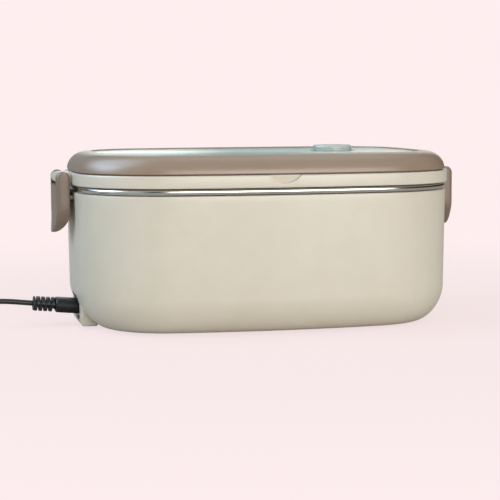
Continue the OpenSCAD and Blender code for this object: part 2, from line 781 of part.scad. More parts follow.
module clip_side() {
    bend = clip_low + 12.5;
    finger_r = 14.6;
    lip_r = 60;
    polygon(concat(
        [for (t = [0 : 15 : 180])
            [clip_pin_x, clip_pin_z] + clip_t / 2 * [cos(t), sin(t)]],
        [for (t = [180 : 10 : 235])
            [clip_in + finger_r, bend] + finger_r * [cos(t), sin(t)]],
        [for (z = [clip_low, bend - 9, bend - 5, bend])
            [clip_in + clip_t + lip_r - sqrt(lip_r * lip_r - (z - bend) * (z - bend)), z]]));
}

module clip_front() {
    centre = clip_low + clip_end_r;
    intersection() {
        translate([-clip_w / 2, clip_low]) square([clip_w, clip_l + clip_t]);
        union() {
            translate([0, centre]) circle(clip_end_r, $fn = 96);
            translate([-clip_w / 2, centre]) square([clip_w, clip_l + clip_t]);
        }
    }
}

slot_room = 0.7;

module clip() {
    difference() {
        intersection() {
            translate([0, clip_w / 2 + cut, 0]) rotate([90, 0, 0])
                linear_extrude(clip_w + 2 * cut) clip_side();
            translate([clip_in - 2, 0, 0]) rotate([90, 0, 90])
                linear_extrude(clip_t + 6) clip_front();
        }
        box([clip_in - cut, -ear_w / 2 - flat_gap, clip_pin_z - clip_t / 2 - slot_room],
            [clip_in + clip_t + cut, ear_w / 2 + flat_gap, clip_pin_z + clip_t]);
        along_y(clip_pin_x, clip_pin_z, clip_pin_r, clip_w / 2 + cut);
    }
    box([slot_in + slot_room, -ridge_w / 2, ridge_top - ridge_h], [clip_in + 1, ridge_w / 2, ridge_top]);
}

module clip_pin() {
    along_y(clip_pin_x, clip_pin_z, clip_pin_r, clip_w / 2);
}

module right_clip() color(taupe) clip();
module right_clip_pin() color("silver") clip_pin();
module left_clip() color(taupe) mirror([1, 0, 0]) clip();
module left_clip_pin() color("silver") mirror([1, 0, 0]) clip_pin();

// Lead

module lead_connector() color(dark) at_inlet() difference() {
    union() {
        lead_bar(pin_half, connector_r, -connector_l, -flat_gap);
        lead_bar(pin_half, connector_r - flat_gap, -cut, nose_l);
    }
    for (i = [-1, 1]) along_x(i * pin_half, 0, pin_r + 0.1, nose_l - pin_l - 1, nose_l + cut);
}

relief_pitch = relief_l / (relief_slots + 0.5);
relief_end = connector_l + relief_l;
relief_slot = 1.3;
relief_wall = 0.5;

module strain_relief() color(dark) at_inlet() difference() {
    lead_bar(1.6, connector_r - 0.1, -relief_end, -connector_l);
    for (i = [0 : relief_slots - 1]) {
        translate([-connector_l - (i + 0.5) * relief_pitch, 0, -cord_r - relief_wall - connector_r])
            cube([relief_slot, 4 * connector_r, 2 * connector_r], center = true);
        translate([-connector_l - (i + 1) * relief_pitch, 0, cord_r + relief_wall + connector_r])
            cube([relief_slot, 4 * connector_r, 2 * connector_r], center = true);
    }
}

// Lead routes: places chosen by hand, measured out from the inlet's face
function past_inlet(places) = [for (p = places) [-inlet_out - p[0], p[1], p[2]]];

lead_start = [-inlet_out, 0, inlet_z] + relief_end * [-cos(lead_tilt), 0, sin(lead_tilt)];
coil_c = [-inlet_out - 131, -26];
coil_layers = 4;
coil_turns = 2.5;
coil_low = 2.5;
coil_end_z = coil_low + (coil_layers - 1) * coil_pitch;
coil_in_end = [coil_c[0] + 2 * cord_r, coil_c[1] + coil_r, coil_low];
coil_out_end = [coil_c[0] - 2 * cord_r, coil_c[1] + coil_r, coil_end_z];
plug_end = [-inlet_out - 145, 36, plug_t / 2];
cord_route = concat([lead_start], past_inlet([[39, 0, 13.7], [48, 0, 14.6], [57, 0, 14.9],
    [66, 0, 14.2], [75, 0, 12.3], [84, 0, 9.7], [93, 0, 7], [102, 0, 4.7], [111, -1, 3.1],
    [120, -2, 2.5]]), [coil_in_end]);
tail_route = concat([coil_out_end], past_inlet([[141, -3, 13.6], [149, -2, 13], [157, 1, 11.8],
    [164, 6, 10.2], [169, 13, 8.6], [169, 21, 7.6], [166, 29, 7.1], [159, 34, 7], [151, 36, 7]]),
    [plug_end]);

function unit(v) = v / norm(v);

function heading(points, i) =
    i == 0 ? unit(points[1] - points[0])
    : i == len(points) - 1 ? unit(points[i] - points[i - 1])
    : unit(points[i + 1] - points[i - 1]);

// Unbroken tube along a row of points
module tube(points, sides, r) {
    n = len(points);
    rings = [for (i = [0 : n - 1])
        let (t = heading(points, i), s = unit(cross(t, [0, 0, 1])), u = cross(s, t))
        for (j = [0 : sides - 1]) let (a = 360 * (j + 0.5) / sides)
            points[i] + r * (cos(a) * s + sin(a) * u)];
    polyhedron(rings, concat(
        [for (i = [0 : n - 2]) each quads(i, i + 1, sides)],
        [[for (j = [0 : sides - 1]) j],
         [for (j = [sides - 1 : -1 : 0]) (n - 1) * sides + j]]));
}

// Coiled lead: spirals in and out again, climbing a layer in the half turn of each reversal
coil_swing = coil_turns * coil_pitch;

function coil_radius(turn) =
    let (part = turn / coil_turns, leg = floor(part), f = part - leg)
    coil_r - coil_swing * (leg % 2 == 0 ? f : 1 - f);

function coil_height(turn) =
    let (nearest = round(turn / coil_turns),
        inside = nearest > 0 && nearest < coil_layers,
        step = min(max((turn - nearest * coil_turns) * 2 + 0.5, 0), 1))
    coil_low + coil_pitch * (inside ? nearest - 1 + step : nearest == 0 ? 0 : coil_layers - 1);

function coil_point(turn) =
    let (a = 90 + 360 * turn)
    [coil_c[0] + coil_radius(turn) * cos(a), coil_c[1] + coil_radius(turn) * sin(a),
     coil_height(turn)];

rings_per_turn = 24;
coil_ring_n = coil_layers * coil_turns * rings_per_turn;
coil_points = [for (i = [0 : coil_ring_n]) coil_point(i / rings_per_turn)];
coil_route = concat([coil_in_end], coil_points, [coil_out_end]);

function least_apart(points, skip) = min([for (i = [0 : len(points) - 1 - skip])
    min([for (j = [i + skip : len(points) - 1]) norm(points[i] - points[j])])]);

coil_self_gap = least_apart(coil_points, rings_per_turn / 2) - 2 * cord_r;
echo(coil_self_gap = coil_self_gap);  // lead_coil

module lead_cord() color(dark) tube(cord_route, 8, cord_r);
module lead_coil() color(dark) tube(coil_route, 6, cord_r);
module lead_tail() color(dark) tube(tail_route, 8, cord_r);

tie_t = 0.7;
tie_out = -coil_r - cord_r - 0.5;
tie_in = -coil_r + coil_swing + cord_r + 0.5;
tie_low = 0.1;
tie_top = coil_end_z + cord_r + flat_gap;

module coil_tie() color("#3a3a3a") translate([coil_c[0], coil_c[1], 0]) difference() {
    box([-tie_w / 2, tie_out - tie_t, tie_low], [tie_w / 2, tie_in + tie_t, tie_top + tie_t]);
    box([-tie_w / 2 - cut, tie_out, tie_low + tie_t], [tie_w / 2 + cut, tie_in, tie_top]);
}

module rounded_rect(w, h, r) {
    square([w - 2 * r, h], center = true);
    square([w, h - 2 * r], center = true);
    for (i = [-1, 1]) for (j = [-1, 1])
        translate([i * (w / 2 - r), j * (h / 2 - r)]) circle(r, $fn = 48);
}

plug_collar = 6;
plug_round = 5;

module mains_plug() color(dark) translate(plug_end) rotate([0, 90, 0]) rotate([0, 0, 90]) {
    linear_extrude(plug_collar + 3) rounded_rect(plug_w / 2, plug_t - plug_round, 3);
    translate([0, 0, plug_collar]) linear_extrude(plug_l - plug_collar)
        rounded_rect(plug_w, plug_t, plug_round);
}

module plug_blades() color("#c8c6bc") translate(plug_end + [plug_l, 0, 0])
    for (i = [-1, 1]) translate([0, i * blade_pitch / 2, 0]) difference() {
        translate([blade_l / 2, 0, 0]) cube([blade_l, blade_t, blade_w], center = true);
        along_y(blade_l - blade_w / 2 - 1, 0, blade_w / 4, blade_t);
    }

body_shell();
inner_tub();
heating_plate();
heater_blocks();
heater_clamp();
clamp_screws();
thermostat();
thermal_fuse();
live_wires();
neutral_wires();
insulation_pad();
base_cover();
base_screws();
rubber_feet();
inlet_socket();
inlet_pins();
food_container();
lid_frame();
lid_seal();
cover_hinge_pin();
hinged_cover();
cover_window();
vent_cap();
left_clip();
left_clip_pin();
right_clip();
right_clip_pin();
lead_connector();
strain_relief();
lead_cord();
lead_coil();
lead_tail();
coil_tie();
mains_plug();
plug_blades();
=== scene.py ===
# %% [markdown]
# # An electric lunch box
# The object is a rounded cream box about 25 cm wide. A heater in its base warms a steel
# container, a lid with two side clips holds the container down, and a taupe cover with a
# clear window is hinged on top of the lid. A thin black lead plugs in at the lower left.
# The exact solids come from the CAD frame. This file gives every surface that shows its
# finished shape and its material. It works in millimetres until a mesh is made.

# %% Load the frame
from math import atan2, copysign, cos, exp, pi, radians, sin, sqrt

import bmesh
import bpy
from mathutils import Euler, Matrix, Vector


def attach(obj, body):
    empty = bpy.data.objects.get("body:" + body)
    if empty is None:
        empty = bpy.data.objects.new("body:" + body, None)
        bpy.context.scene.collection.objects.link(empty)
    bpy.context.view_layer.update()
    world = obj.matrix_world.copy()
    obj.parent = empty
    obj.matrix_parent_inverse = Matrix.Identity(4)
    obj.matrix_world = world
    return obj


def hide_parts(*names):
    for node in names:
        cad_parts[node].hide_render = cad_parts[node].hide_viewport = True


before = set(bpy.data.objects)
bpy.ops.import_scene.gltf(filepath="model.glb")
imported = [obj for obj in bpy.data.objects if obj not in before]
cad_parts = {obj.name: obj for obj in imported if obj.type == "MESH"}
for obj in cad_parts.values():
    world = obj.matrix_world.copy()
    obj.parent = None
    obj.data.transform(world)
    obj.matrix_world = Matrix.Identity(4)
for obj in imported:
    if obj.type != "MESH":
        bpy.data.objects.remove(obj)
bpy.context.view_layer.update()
MM = 0.001

# %% [markdown]
# ## Colours
# Photographs give colours as display values from 0 to 255. A shader works with linear
# light, so one small function converts them.

# %% Display colour to linear light
def tint(red, green, blue):
    def linear(value):
        value /= 255
        return value / 12.92 if value <= 0.04045 else ((value + 0.055) / 1.055) ** 2.4
    return (linear(red), linear(green), linear(blue), 1.0)


BACKDROP = tint(254, 238, 239)
print("backdrop in linear light:", [round(c, 3) for c in BACKDROP])

# %% [markdown]
# ## Camera
# The product is seen from its front, a little from the left and from just above the lid.
# A long lens far away keeps the proportions calm. The camera is placed by its direction
# round the object.

# %% Camera
def new_object(name, data):
    made = bpy.data.objects.new(name, data)
    bpy.context.scene.collection.objects.link(made)
    return made


def make_camera(azimuth, distance, height, aim, roll, lens):
    camera = new_object("camera", bpy.data.cameras.new("camera"))
    turn = radians(azimuth)
    camera.location = Vector((distance * sin(turn), -distance * cos(turn), height)) * MM
    sight = Vector(aim) * MM - camera.location
    camera.rotation_mode = "QUATERNION"
    camera.rotation_quaternion = (sight.to_track_quat("-Z", "Y")
                                  @ Euler((0, 0, radians(roll))).to_quaternion())
    camera.data.lens = lens
    camera.data.clip_end = 20
    bpy.context.scene.camera = camera
    return camera


camera = make_camera(azimuth=-12.56, distance=933.65, height=130.93,
                     aim=(-2.14, 0, 41.55), roll=-0.31, lens=110.07)
print("camera at", [round(v, 3) for v in camera.location])

# %% [markdown]
# ## Building with nodes
# The world, the materials and Geometry Nodes are all graphs of nodes. One helper adds a
# node and sets it up. Each input takes a value or the output of an earlier node, so a
# graph reads like a formula, from the inside outwards.

# %% Helpers for nodes
def feed(tree, node, inputs):
    """Give each listed input a value, or the output of another node."""
    for name, value in inputs.items():
        if isinstance(value, bpy.types.NodeSocket):
            tree.links.new(value, node.inputs[name])
        else:
            node.inputs[name].default_value = value
    return node


def add(tree, kind, inputs=None, **settings):
    node = tree.nodes.new(kind)
    for name, value in settings.items():
        setattr(node, name, value)
    return feed(tree, node, inputs or {})


def remap(tree, value, start, end, low=0.0, high=1.0, kind="LINEAR"):
    """The value, which runs from start to end, moved to the range from low to high."""
    inputs = {"Value": value, "From Min": start, "From Max": end, "To Min": low, "To Max": high}
    return add(tree, "ShaderNodeMapRange", inputs, interpolation_type=kind).outputs["Result"]


def mix_colour(tree, share, first, second):
    return add(tree, "ShaderNodeMix", {0: share, 6: first, 7: second}, data_type="RGBA").outputs[2]


def mix_shader(tree, share, first, second):
    return add(tree, "ShaderNodeMixShader", {0: share, 1: first, 2: second}).outputs[0]


def calculate(tree, operation, first, second):
    return add(tree, "ShaderNodeMath", {0: first, 1: second}, operation=operation).outputs[0]


def noise(tree, where, scale, detail):
    inputs = {"Vector": where, "Scale": scale, "Detail": detail}
    return add(tree, "ShaderNodeTexNoise", inputs).outputs["Fac"]

# %% [markdown]
# ## Floor, backdrop and light
# A product picture has a pale paper sweep behind and below the object. Here the world
# gives the backdrop colour to camera and see-through rays, and a softer grey to the rays
# that light the object. Mirror rays see a simple studio round the object: a pale panel in
# front, a softer one on the left with a dark gap between them, dark felt on the right,
# and at the back a narrow bright panel beside a dim wall. A bright patch high on the left
# gives the window and the plastic their sheen. Steel needs such contrast, because a
# mirror in an even room looks like grey paint.

# %% World with a backdrop and a studio for mirrors
PANELS = [(0.00, (0.35, 0.38, 0.38)), (0.05, (0.62, 0.70, 0.72)), (0.13, (0.55, 0.60, 0.60)),
          (0.165, (0.06, 0.06, 0.05)), (0.208, (0.06, 0.06, 0.05)), (0.232, (1.05, 1.03, 0.99)),
          (0.345, (1.00, 0.99, 0.97)), (0.370, (0.03, 0.03, 0.02)), (0.66, (0.04, 0.04, 0.03)),
          (0.685, (1.50, 1.42, 1.30)), (0.7025, (1.00, 1.00, 0.92)), (0.708, (0.58, 0.70, 0.66)),
          (0.719, (0.58, 0.72, 0.68)), (0.7285, (1.70, 1.85, 1.75)), (0.738, (1.30, 1.40, 1.35)),
          (0.75, (0.16, 0.17, 0.17))]
CEILING = (0.55, 0.58, 0.57, 1)
SHEEN, SHEEN_AT = (3.7, 5.0, 6.8, 1), Vector((-0.72, 0.26, 0.73)).normalized()


def make_studio(tree):
    """Colour of the studio by direction: panels round the sides, ceiling and bright patch."""
    where = add(tree, "ShaderNodeTexCoord").outputs["Generated"]
    turn = add(tree, "ShaderNodeTexGradient", {"Vector": where}, gradient_type="RADIAL")
    ramp = add(tree, "ShaderNodeValToRGB", {"Fac": turn.outputs["Fac"]})
    while len(ramp.color_ramp.elements) < len(PANELS):
        ramp.color_ramp.elements.new(0.5)
    for stop, (spot, colour) in zip(ramp.color_ramp.elements, PANELS):
        stop.position, stop.color = spot, (*colour, 1)
    height = add(tree, "ShaderNodeSeparateXYZ", {"Vector": where}).outputs["Z"]
    nearness = add(tree, "ShaderNodeVectorMath", {0: where, 1: SHEEN_AT}, operation="DOT_PRODUCT")
    above = remap(tree, height, 0.35, 0.8, kind="SMOOTHSTEP")
    patch = remap(tree, nearness.outputs["Value"], 0.82, 0.97, kind="SMOOTHSTEP")
    return mix_colour(tree, patch, mix_colour(tree, above, ramp.outputs["Color"], CEILING), SHEEN)


def make_world(ambient, strength):
    world = bpy.data.worlds.new("studio")
    bpy.context.scene.world = world
    world.use_nodes = True
    tree = world.node_tree
    tree.nodes.clear()
    seen, lit, mirrored = (
        add(tree, "ShaderNodeBackground", {"Color": colour, "Strength": power}).outputs[0]
        for colour, power in ((BACKDROP, 1.0), (ambient, strength), (make_studio(tree), 1.0)))
    path = add(tree, "ShaderNodeLightPath").outputs
    direct = calculate(tree, "MAXIMUM", path["Is Camera Ray"], path["Is Transmission Ray"])
    bounced = mix_shader(tree, path["Is Glossy Ray"], lit, mirrored)
    add(tree, "ShaderNodeOutputWorld", {"Surface": mix_shader(tree, direct, bounced, seen)})
    print("nodes in the world:", len(tree.nodes))


make_world(ambient=tint(232, 234, 233), strength=0.42)

# %% Floor
def make_floor(side=6):
    """Paper whose own glow grows with distance, so that it meets the backdrop unseen."""
    material = bpy.data.materials.new("paper_sweep")
    material.use_nodes = True
    tree = material.node_tree
    tree.nodes.clear()
    paper, bounce = (add(tree, "ShaderNodeBsdfDiffuse", {"Color": colour}).outputs[0]
                     for colour in (BACKDROP, tint(212, 204, 200)))
    glow = add(tree, "ShaderNodeEmission", {"Color": BACKDROP}).outputs[0]
    where = add(tree, "ShaderNodeTexCoord").outputs["Object"]
    reach = add(tree, "ShaderNodeVectorMath", {0: where}, operation="LENGTH").outputs["Value"]
    seen = mix_shader(tree, remap(tree, reach, 0.15, 0.6, 0.8, kind="SMOOTHSTEP"), paper, glow)
    direct = add(tree, "ShaderNodeLightPath").outputs["Is Camera Ray"]
    add(tree, "ShaderNodeOutputMaterial", {"Surface": mix_shader(tree, direct, bounce, seen)})
    mesh = bpy.data.meshes.new("floor")
    mesh.from_pydata([(-side, -side, 0), (side, -side, 0), (side, side, 0), (-side, side, 0)],
                     [], [(0, 1, 2, 3)])
    mesh.materials.append(material)
    new_object("floor", mesh)


make_floor()

# %% Soft boxes
def soft_box(name, place, aim, width, height, power, colour):
    light = bpy.data.lights.new(name, "AREA")
    light.shape = "RECTANGLE"
    light.size, light.size_y = width * MM, height * MM
    light.energy, light.color = power, tint(*colour)[:3]
    lamp = new_object(name, light)
    lamp.location = Vector(place) * MM
    lamp.rotation_euler = (Vector(aim) - Vector(place)).to_track_quat("-Z", "Y").to_euler()


soft_box("key_light", (380, -1700, 420), (0, 0, 50), 1300, 800, 18.7, (252, 250, 246))
soft_box("left_panel", (-1200, 50, 620), (0, 0, 60), 700, 700, 7.6, (206, 231, 250))
soft_box("top_light", (100, 500, 1600), (0, 0, 60), 1500, 1100, 4, (250, 250, 250))
bpy.context.scene.view_settings.view_transform = "Standard"

# %% [markdown]
# ## Shader groups
# Every plastic part of the box was moulded. Under a close look such a surface has a very
# fine grain, and its colour and shine drift a little over a few centimetres. One group
# makes this, and each material places it with its own values. A second group makes the
# fine parallel scratches of brushed metal.

# %% What both groups share
GIVEN = {"Colour": "Color", "Deep Colour": "Color", "Roughness": "Float"}
MADE = {"Colour": "Color", "Roughness": "Float", "Height": "Float"}


def new_group(name, kind, inputs, outputs):
    """An empty node group with named sockets, and the values that it will be given."""
    group = bpy.data.node_groups.new(name, kind)
    for way, sockets in (("INPUT", inputs), ("OUTPUT", outputs)):
        for label, socket in sockets.items():
            group.interface.new_socket(name=label, in_out=way, socket_type="NodeSocket" + socket)
    return group, group.nodes.new("NodeGroupInput").outputs


def spread(tree, value, low, high):
    """A noise value, which mostly lies between 0.3 and 0.7, spread from low to high."""
    return remap(tree, value, 0.3, 0.7, low, high)

# %% Moulded plastic
def make_moulded_group():
    group, given = new_group("moulded_surface", "ShaderNodeTree", {**GIVEN, "Grain Scale": "Float"}, MADE)
    where = add(group, "ShaderNodeTexCoord").outputs["Object"]
    drift, patch = noise(group, where, 14, 2), noise(group, where, 90, 3)
    clouds = calculate(group, "MULTIPLY", drift, calculate(group, "ADD", patch, 0.5))
    add(group, "NodeGroupOutput", {
        "Colour": mix_colour(group, spread(group, clouds, 0.0, 1.0), given["Deep Colour"], given["Colour"]),
        "Roughness": calculate(group, "ADD", given["Roughness"], spread(group, patch, -0.035, 0.035)),
        "Height": noise(group, where, given["Grain Scale"], 2)})
    return group

# %% Brushed metal
def make_brushed_group():
    group, given = new_group("brushed_surface", "ShaderNodeTree", {**GIVEN, "Stretch": "Vector"}, MADE)
    where = add(group, "ShaderNodeTexCoord").outputs["Object"]
    along = add(group, "ShaderNodeMapping", {"Vector": where, "Scale": given["Stretch"]})
    lines, smear = noise(group, along.outputs["Vector"], 60, 6), noise(group, where, 35, 3)
    shine = calculate(group, "ADD", spread(group, lines, -0.04, 0.05), spread(group, smear, -0.03, 0.04))
    add(group, "NodeGroupOutput", {
        "Colour": mix_colour(group, spread(group, lines, 0.0, 1.0), given["Deep Colour"], given["Colour"]),
        "Roughness": calculate(group, "ADD", given["Roughness"], shine),
        "Height": lines})
    return group


moulded_group = make_moulded_group()
brushed_group = make_brushed_group()
print("groups:", moulded_group.name, brushed_group.name)

# %% [markdown]
# ## Materials
# Each finish is one material: a Principled shader whose colour, roughness and fine bump
# come from a group. Values that are the same all over, such as the strength of the
# highlight, are set on the shader's own sockets.

# %% Finishes
def finish(name, group, colour, deep, roughness, bump, own, **settings):
    material = bpy.data.materials.new(name)
    material.use_nodes = True
    tree = material.node_tree
    surface = add(tree, "ShaderNodeGroup", {"Colour": tint(*colour), "Deep Colour": tint(*deep),
                                            "Roughness": roughness, **own}, node_tree=group).outputs
    relief = add(tree, "ShaderNodeBump", {
        "Strength": 0.35, "Distance": bump * MM, "Height": surface["Height"]})
    feed(tree, tree.nodes["Principled BSDF"], {
        "Base Color": surface["Colour"], "Roughness": surface["Roughness"],
        "Normal": relief.outputs["Normal"], **settings})
    return material


def plastic(name, colour, deep, roughness, bump=0.02, grain=1500.0, highlight=0.5, **settings):
    settings["Specular IOR Level"] = highlight
    return finish(name, moulded_group, colour, deep, roughness, bump, {"Grain Scale": grain}, **settings)


def metal(name, colour, deep, roughness, stretch, bump=0.004):
    return finish(name, brushed_group, colour, deep, roughness, bump, {"Stretch": stretch}, Metallic=1.0)

# %% Plastics: colour, deep colour, roughness, bump, grain and highlight
PLASTICS = {
    "cream_body": ((221, 214, 198), (216, 208, 191), 0.36),
    "cream_lid": ((223, 216, 201), (218, 210, 194), 0.34),
    "taupe_cover": ((159, 139, 122), (153, 133, 115), 0.31),
    # The clips' taupe is their own colour darkened a little: painted shade for the left clip, which stands in
    # shadow.
    "taupe_clip": ((136, 118, 103), (130, 112, 97), 0.36),
    "white_tub": ((224, 222, 214), (217, 214, 205), 0.5),
    "base_plastic": ((206, 199, 183), (199, 191, 175), 0.55, 0.06, 900),
    "vent_plastic": ((198, 208, 203), (190, 200, 195), 0.3),
    "silicone": ((232, 230, 224), (225, 223, 216), 0.6, 0.03),
    "foot_rubber": ((62, 62, 63), (54, 54, 55), 0.75, 0.05, 1100),
    "lead_rubber": ((40, 40, 42), (33, 33, 35), 0.40, 0.02, 1500, 0.4),
    "black_plastic": ((34, 34, 36), (28, 28, 30), 0.46, 0.05, 1300, 0.35),
    "tie_plastic": ((60, 60, 62), (50, 50, 53), 0.6, 0.05, 700),
    "ceramic": ((222, 216, 200), (212, 205, 188), 0.7, 0.06, 700),
    "phenolic": ((78, 62, 56), (68, 53, 48), 0.5, 0.03),
    "fuse_sleeve": ((236, 233, 226), (220, 216, 207), 0.8, 0.12, 600),
    "insulation": ((196, 184, 156), (180, 167, 138), 0.9, 0.3, 260),
    "brown_wire": ((122, 78, 52), (108, 68, 44), 0.4),
    "blue_wire": ((74, 108, 150), (64, 96, 136), 0.4),
}
MATERIALS = {name: plastic(name, *values) for name, values in PLASTICS.items()}
print("plastics:", len(MATERIALS))

# %% Metals: colour, deep colour, roughness, stretch of the scratches and bump
METALS = {
    "container_steel": ((212, 211, 207), (196, 195, 190), 0.14, (1, 1, 26)),
    "plate_aluminium": ((214, 215, 216), (194, 196, 198), 0.34, (1, 30, 1), 0.01),
    "spring_steel": ((196, 196, 196), (178, 178, 178), 0.32, (1, 24, 1), 0.01),
    "zinc_steel": ((206, 207, 210), (184, 186, 190), 0.3, (6, 6, 6), 0.01),
    "pin_steel": ((208, 208, 208), (190, 190, 190), 0.2, (30, 1, 30)),
    "brass": ((222, 204, 150), (206, 186, 130), 0.22, (1, 24, 24), 0.006),
}
MATERIALS.update({name: metal(name, *values) for name, values in METALS.items()})
print("materials:", len(MATERIALS))

# %% [markdown]
# ## Clear window
# The window is a clear plastic sheet with a faint cloudiness. A plain Transmission value
# lets light through, and the group gives the small changes of shine.

# %% Window material
MATERIALS["window_plastic"] = plastic(
    "window_plastic", (196, 213, 208), (184, 203, 198), 0.14, bump=0.004, highlight=0.25,
    **{"Transmission Weight": 0.6, "IOR": 1.49})
print("with the window:", len(MATERIALS))

# %% [markdown]
# ## The box's outline
# Seen from above, the box is a rectangle with slightly bowed sides and round corners. It
# is made of eight arcs that meet smoothly. An inset draws every arc in by the same
# amount, so walls, rims and lids all follow one rule.

# %% Outline
BODY_W, BODY_D = 224.0, 168.0
CORNER_R, LONG_R, SHORT_R = 54.0, 510.0, 490.0


LONG_C, SHORT_C = Vector((0, BODY_D / 2 - LONG_R)), Vector((BODY_W / 2 - SHORT_R, 0))


def corner_centre():
    """Where a corner arc touches a long arc and a short arc from the inside."""
    apart = (SHORT_C - LONG_C).length
    to_long, to_short = LONG_R - CORNER_R, SHORT_R - CORNER_R
    along = (to_long ** 2 - to_short ** 2 + apart ** 2) / (2 * apart)
    across = sqrt(to_long ** 2 - along ** 2)
    run = (SHORT_C - LONG_C) / apart
    return LONG_C + along * run + across * Vector((run.y, -run.x))


CORNER = corner_centre()
LONG_TURN = atan2(CORNER.y - LONG_C.y, CORNER.x)
SHORT_TURN = atan2(CORNER.y, CORNER.x - SHORT_C.x)
ARCS = [(SHORT_C, SHORT_R, 0, SHORT_TURN, 7), (CORNER, CORNER_R, SHORT_TURN, LONG_TURN, 20),
        (LONG_C, LONG_R, LONG_TURN, pi / 2, 10)]


def outline(inset):
    """Points of the closed outline, drawn in by inset, anticlockwise from the right side."""
    quarter = []
    for centre, radius, start, end, steps in ARCS:
        for i in range(steps):
            turn = start + (end - start) * i / steps
            quarter.append((centre.x + (radius - inset) * cos(turn), centre.y + (radius - inset) * sin(turn)))
    half = quarter + [(0.0, BODY_D / 2 - inset)] + [(-x, y) for x, y in quarter[:0:-1]]
    return half + [(-x, -y) for x, y in half]


print("points round the box:", len(outline(0)))

# %% [markdown]
# ## Skins
# Most parts of the box are shells. A shell is a row of closed rings with quads between
# them. Where the row closes on itself it is a hollow wall, and otherwise flat caps close
# its two ends. Sharp edges are marked by angle, and all other faces are smooth.

# %% Making a mesh
def make_piece(name, points, faces, material, sharp=32.0):
    mesh = bpy.data.meshes.new(name)
    mesh.from_pydata([Vector(p) * MM for p in points], [], faces)
    return make_object(name, mesh, material, sharp)


def make_object(name, mesh, material, sharp=32.0):
    work = bmesh.new()
    work.from_mesh(mesh)
    bmesh.ops.remove_doubles(work, verts=work.verts, dist=1e-7)
    bmesh.ops.recalc_face_normals(work, faces=work.faces)
    work.to_mesh(mesh)
    work.free()
    mesh.materials.clear()
    mesh.materials.append(MATERIALS.get(material, material))
    mesh.shade_smooth()
    mesh.set_sharp_from_angle(angle=radians(sharp))
    return new_object(name, mesh)


def skin(name, rings, material, closed_row=False, sharp=32.0):
    """A solid through a row of rings, all with the same number of points."""
    count, faces = len(rings[0]), []
    for i in range(len(rings) if closed_row else len(rings) - 1):
        low, high = i * count, (i + 1) % len(rings) * count
        for j in range(count):
            k = (j + 1) % count
            faces.append((low + j, low + k, high + k, high + j))
    if not closed_row:
        last = (len(rings) - 1) * count
        faces += [tuple(reversed(range(count))), tuple(range(last, last + count))]
    return make_piece(name, [p for ring in rings for p in ring], faces, material, sharp)


def shell(name, profile, material, closed_row=False):
    """A skin whose rings are the box's outline at each inset and height of the profile."""
    rings = [[(x, y, z) for x, y in outline(inset)] for inset, z in profile]
    return skin(name, rings, material, closed_row)

# %% [markdown]
# ## Cutting and joining
# A Boolean modifier with the exact solver cuts slots and joins posts to shells. The
# result is read from the evaluated object, so no modifier is left behind.

# %% Boolean work
def baked(piece, material=None):
    """The piece with its modifiers turned into plain mesh, under the same name."""
    graph = bpy.context.evaluated_depsgraph_get()
    mesh = bpy.data.meshes.new_from_object(piece.evaluated_get(graph))
    name, material, old = piece.name, material or piece.data.materials[0], piece.data
    bpy.data.objects.remove(piece)
    bpy.data.meshes.remove(old)
    mesh.name = name
    return make_object(name, mesh, material)


def combine(piece, tools, operation):
    """The piece joined with all the tools, or cut by them; the tools are used up."""
    for tool in tools:
        step = piece.modifiers.new(tool.name, "BOOLEAN")
        step.operation, step.object, step.solver = operation, tool, "EXACT"
    bpy.context.view_layer.update()
    piece = baked(piece)
    for tool in tools:
        bpy.data.objects.remove(tool)
    return piece


def join(piece, tools):
    return combine(piece, tools, "UNION")


def cut(piece, tools):
    return combine(piece, tools, "DIFFERENCE")


def bevelled(piece, width):
    step = piece.modifiers.new("rounding", "BEVEL")
    step.width, step.segments = width * MM, 3
    step.limit_method, step.angle_limit = "ANGLE", radians(40)
    bpy.context.view_layer.update()
    return baked(piece)

# %% Simple tools for cutting and joining
def block(name, low, high, material="cream_body", rounding=0.0, place=None):
    xs, ys, zs = (sorted(pair) for pair in zip(low, high))
    corners = [(x, y, z) for x in xs for y in ys for z in zs]
    if place:
        corners = [place @ Vector(c) for c in corners]
    faces = [(0, 1, 3, 2), (4, 6, 7, 5), (0, 4, 5, 1), (2, 3, 7, 6), (0, 2, 6, 4), (1, 5, 7, 3)]
    piece = make_piece(name, corners, faces, material)
    return bevelled(piece, rounding) if rounding else piece


def spun(name, profile, material, place=Matrix.Identity(4), steps=64):
    """A solid of revolution round Z: the profile is pairs of radius and height."""
    rings = [[place @ Vector((r * cos(a), r * sin(a), z))
              for a in (2 * pi * j / steps for j in range(steps))] for r, z in profile]
    return skin(name, rings, material)


def rod(name, start, end, radius, steps=48):
    start, end = Vector(start), Vector(end)
    turn = (end - start).to_track_quat("Z", "Y").to_matrix().to_4x4()
    return spun(name, [(radius, 0), (radius, (end - start).length)], "cream_body",
                Matrix.Translation(start) @ turn, steps)


def upright(name, x, y, low, high, radius, steps=48):
    return rod(name, (x, y, low), (x, y, high), radius, steps)


print("helpers ready")

# %% [markdown]
# ## The lead
# The lead is a thin black two-core flex, 3.2 mm thick and about 1.3 m long. The picture
# shows only its first centimetres. The rest lies beside the box as a neat round coil held
# by a tie, and ends in a two-blade plug. The route is a row of points, the same as in the
# solids, and the coil spirals in and out again while it climbs four layers.

# %% Lead route
CORD_R = 1.6
INLET = Vector((-101.0, 0.0, 10.2))
LEAD_TILT = radians(5)
RELIEF_END = 34.0
COIL_C, COIL_R, COIL_PITCH, COIL_TURNS, COIL_LAYERS, COIL_LOW = (-232, -26), 22.9, 3.8, 2.5, 4, 2.5
PLUG_END = Vector((-246.0, 36.0, 7.0))


def along_lead(distance, side=0.0, up=0.0):
    """A point by the inlet: distance runs out along the lead's tilted axis."""
    out = Vector((-cos(LEAD_TILT), 0, sin(LEAD_TILT)))
    rise = Vector((sin(LEAD_TILT), 0, cos(LEAD_TILT)))
    return INLET + distance * out + Vector((0, side, 0)) + up * rise


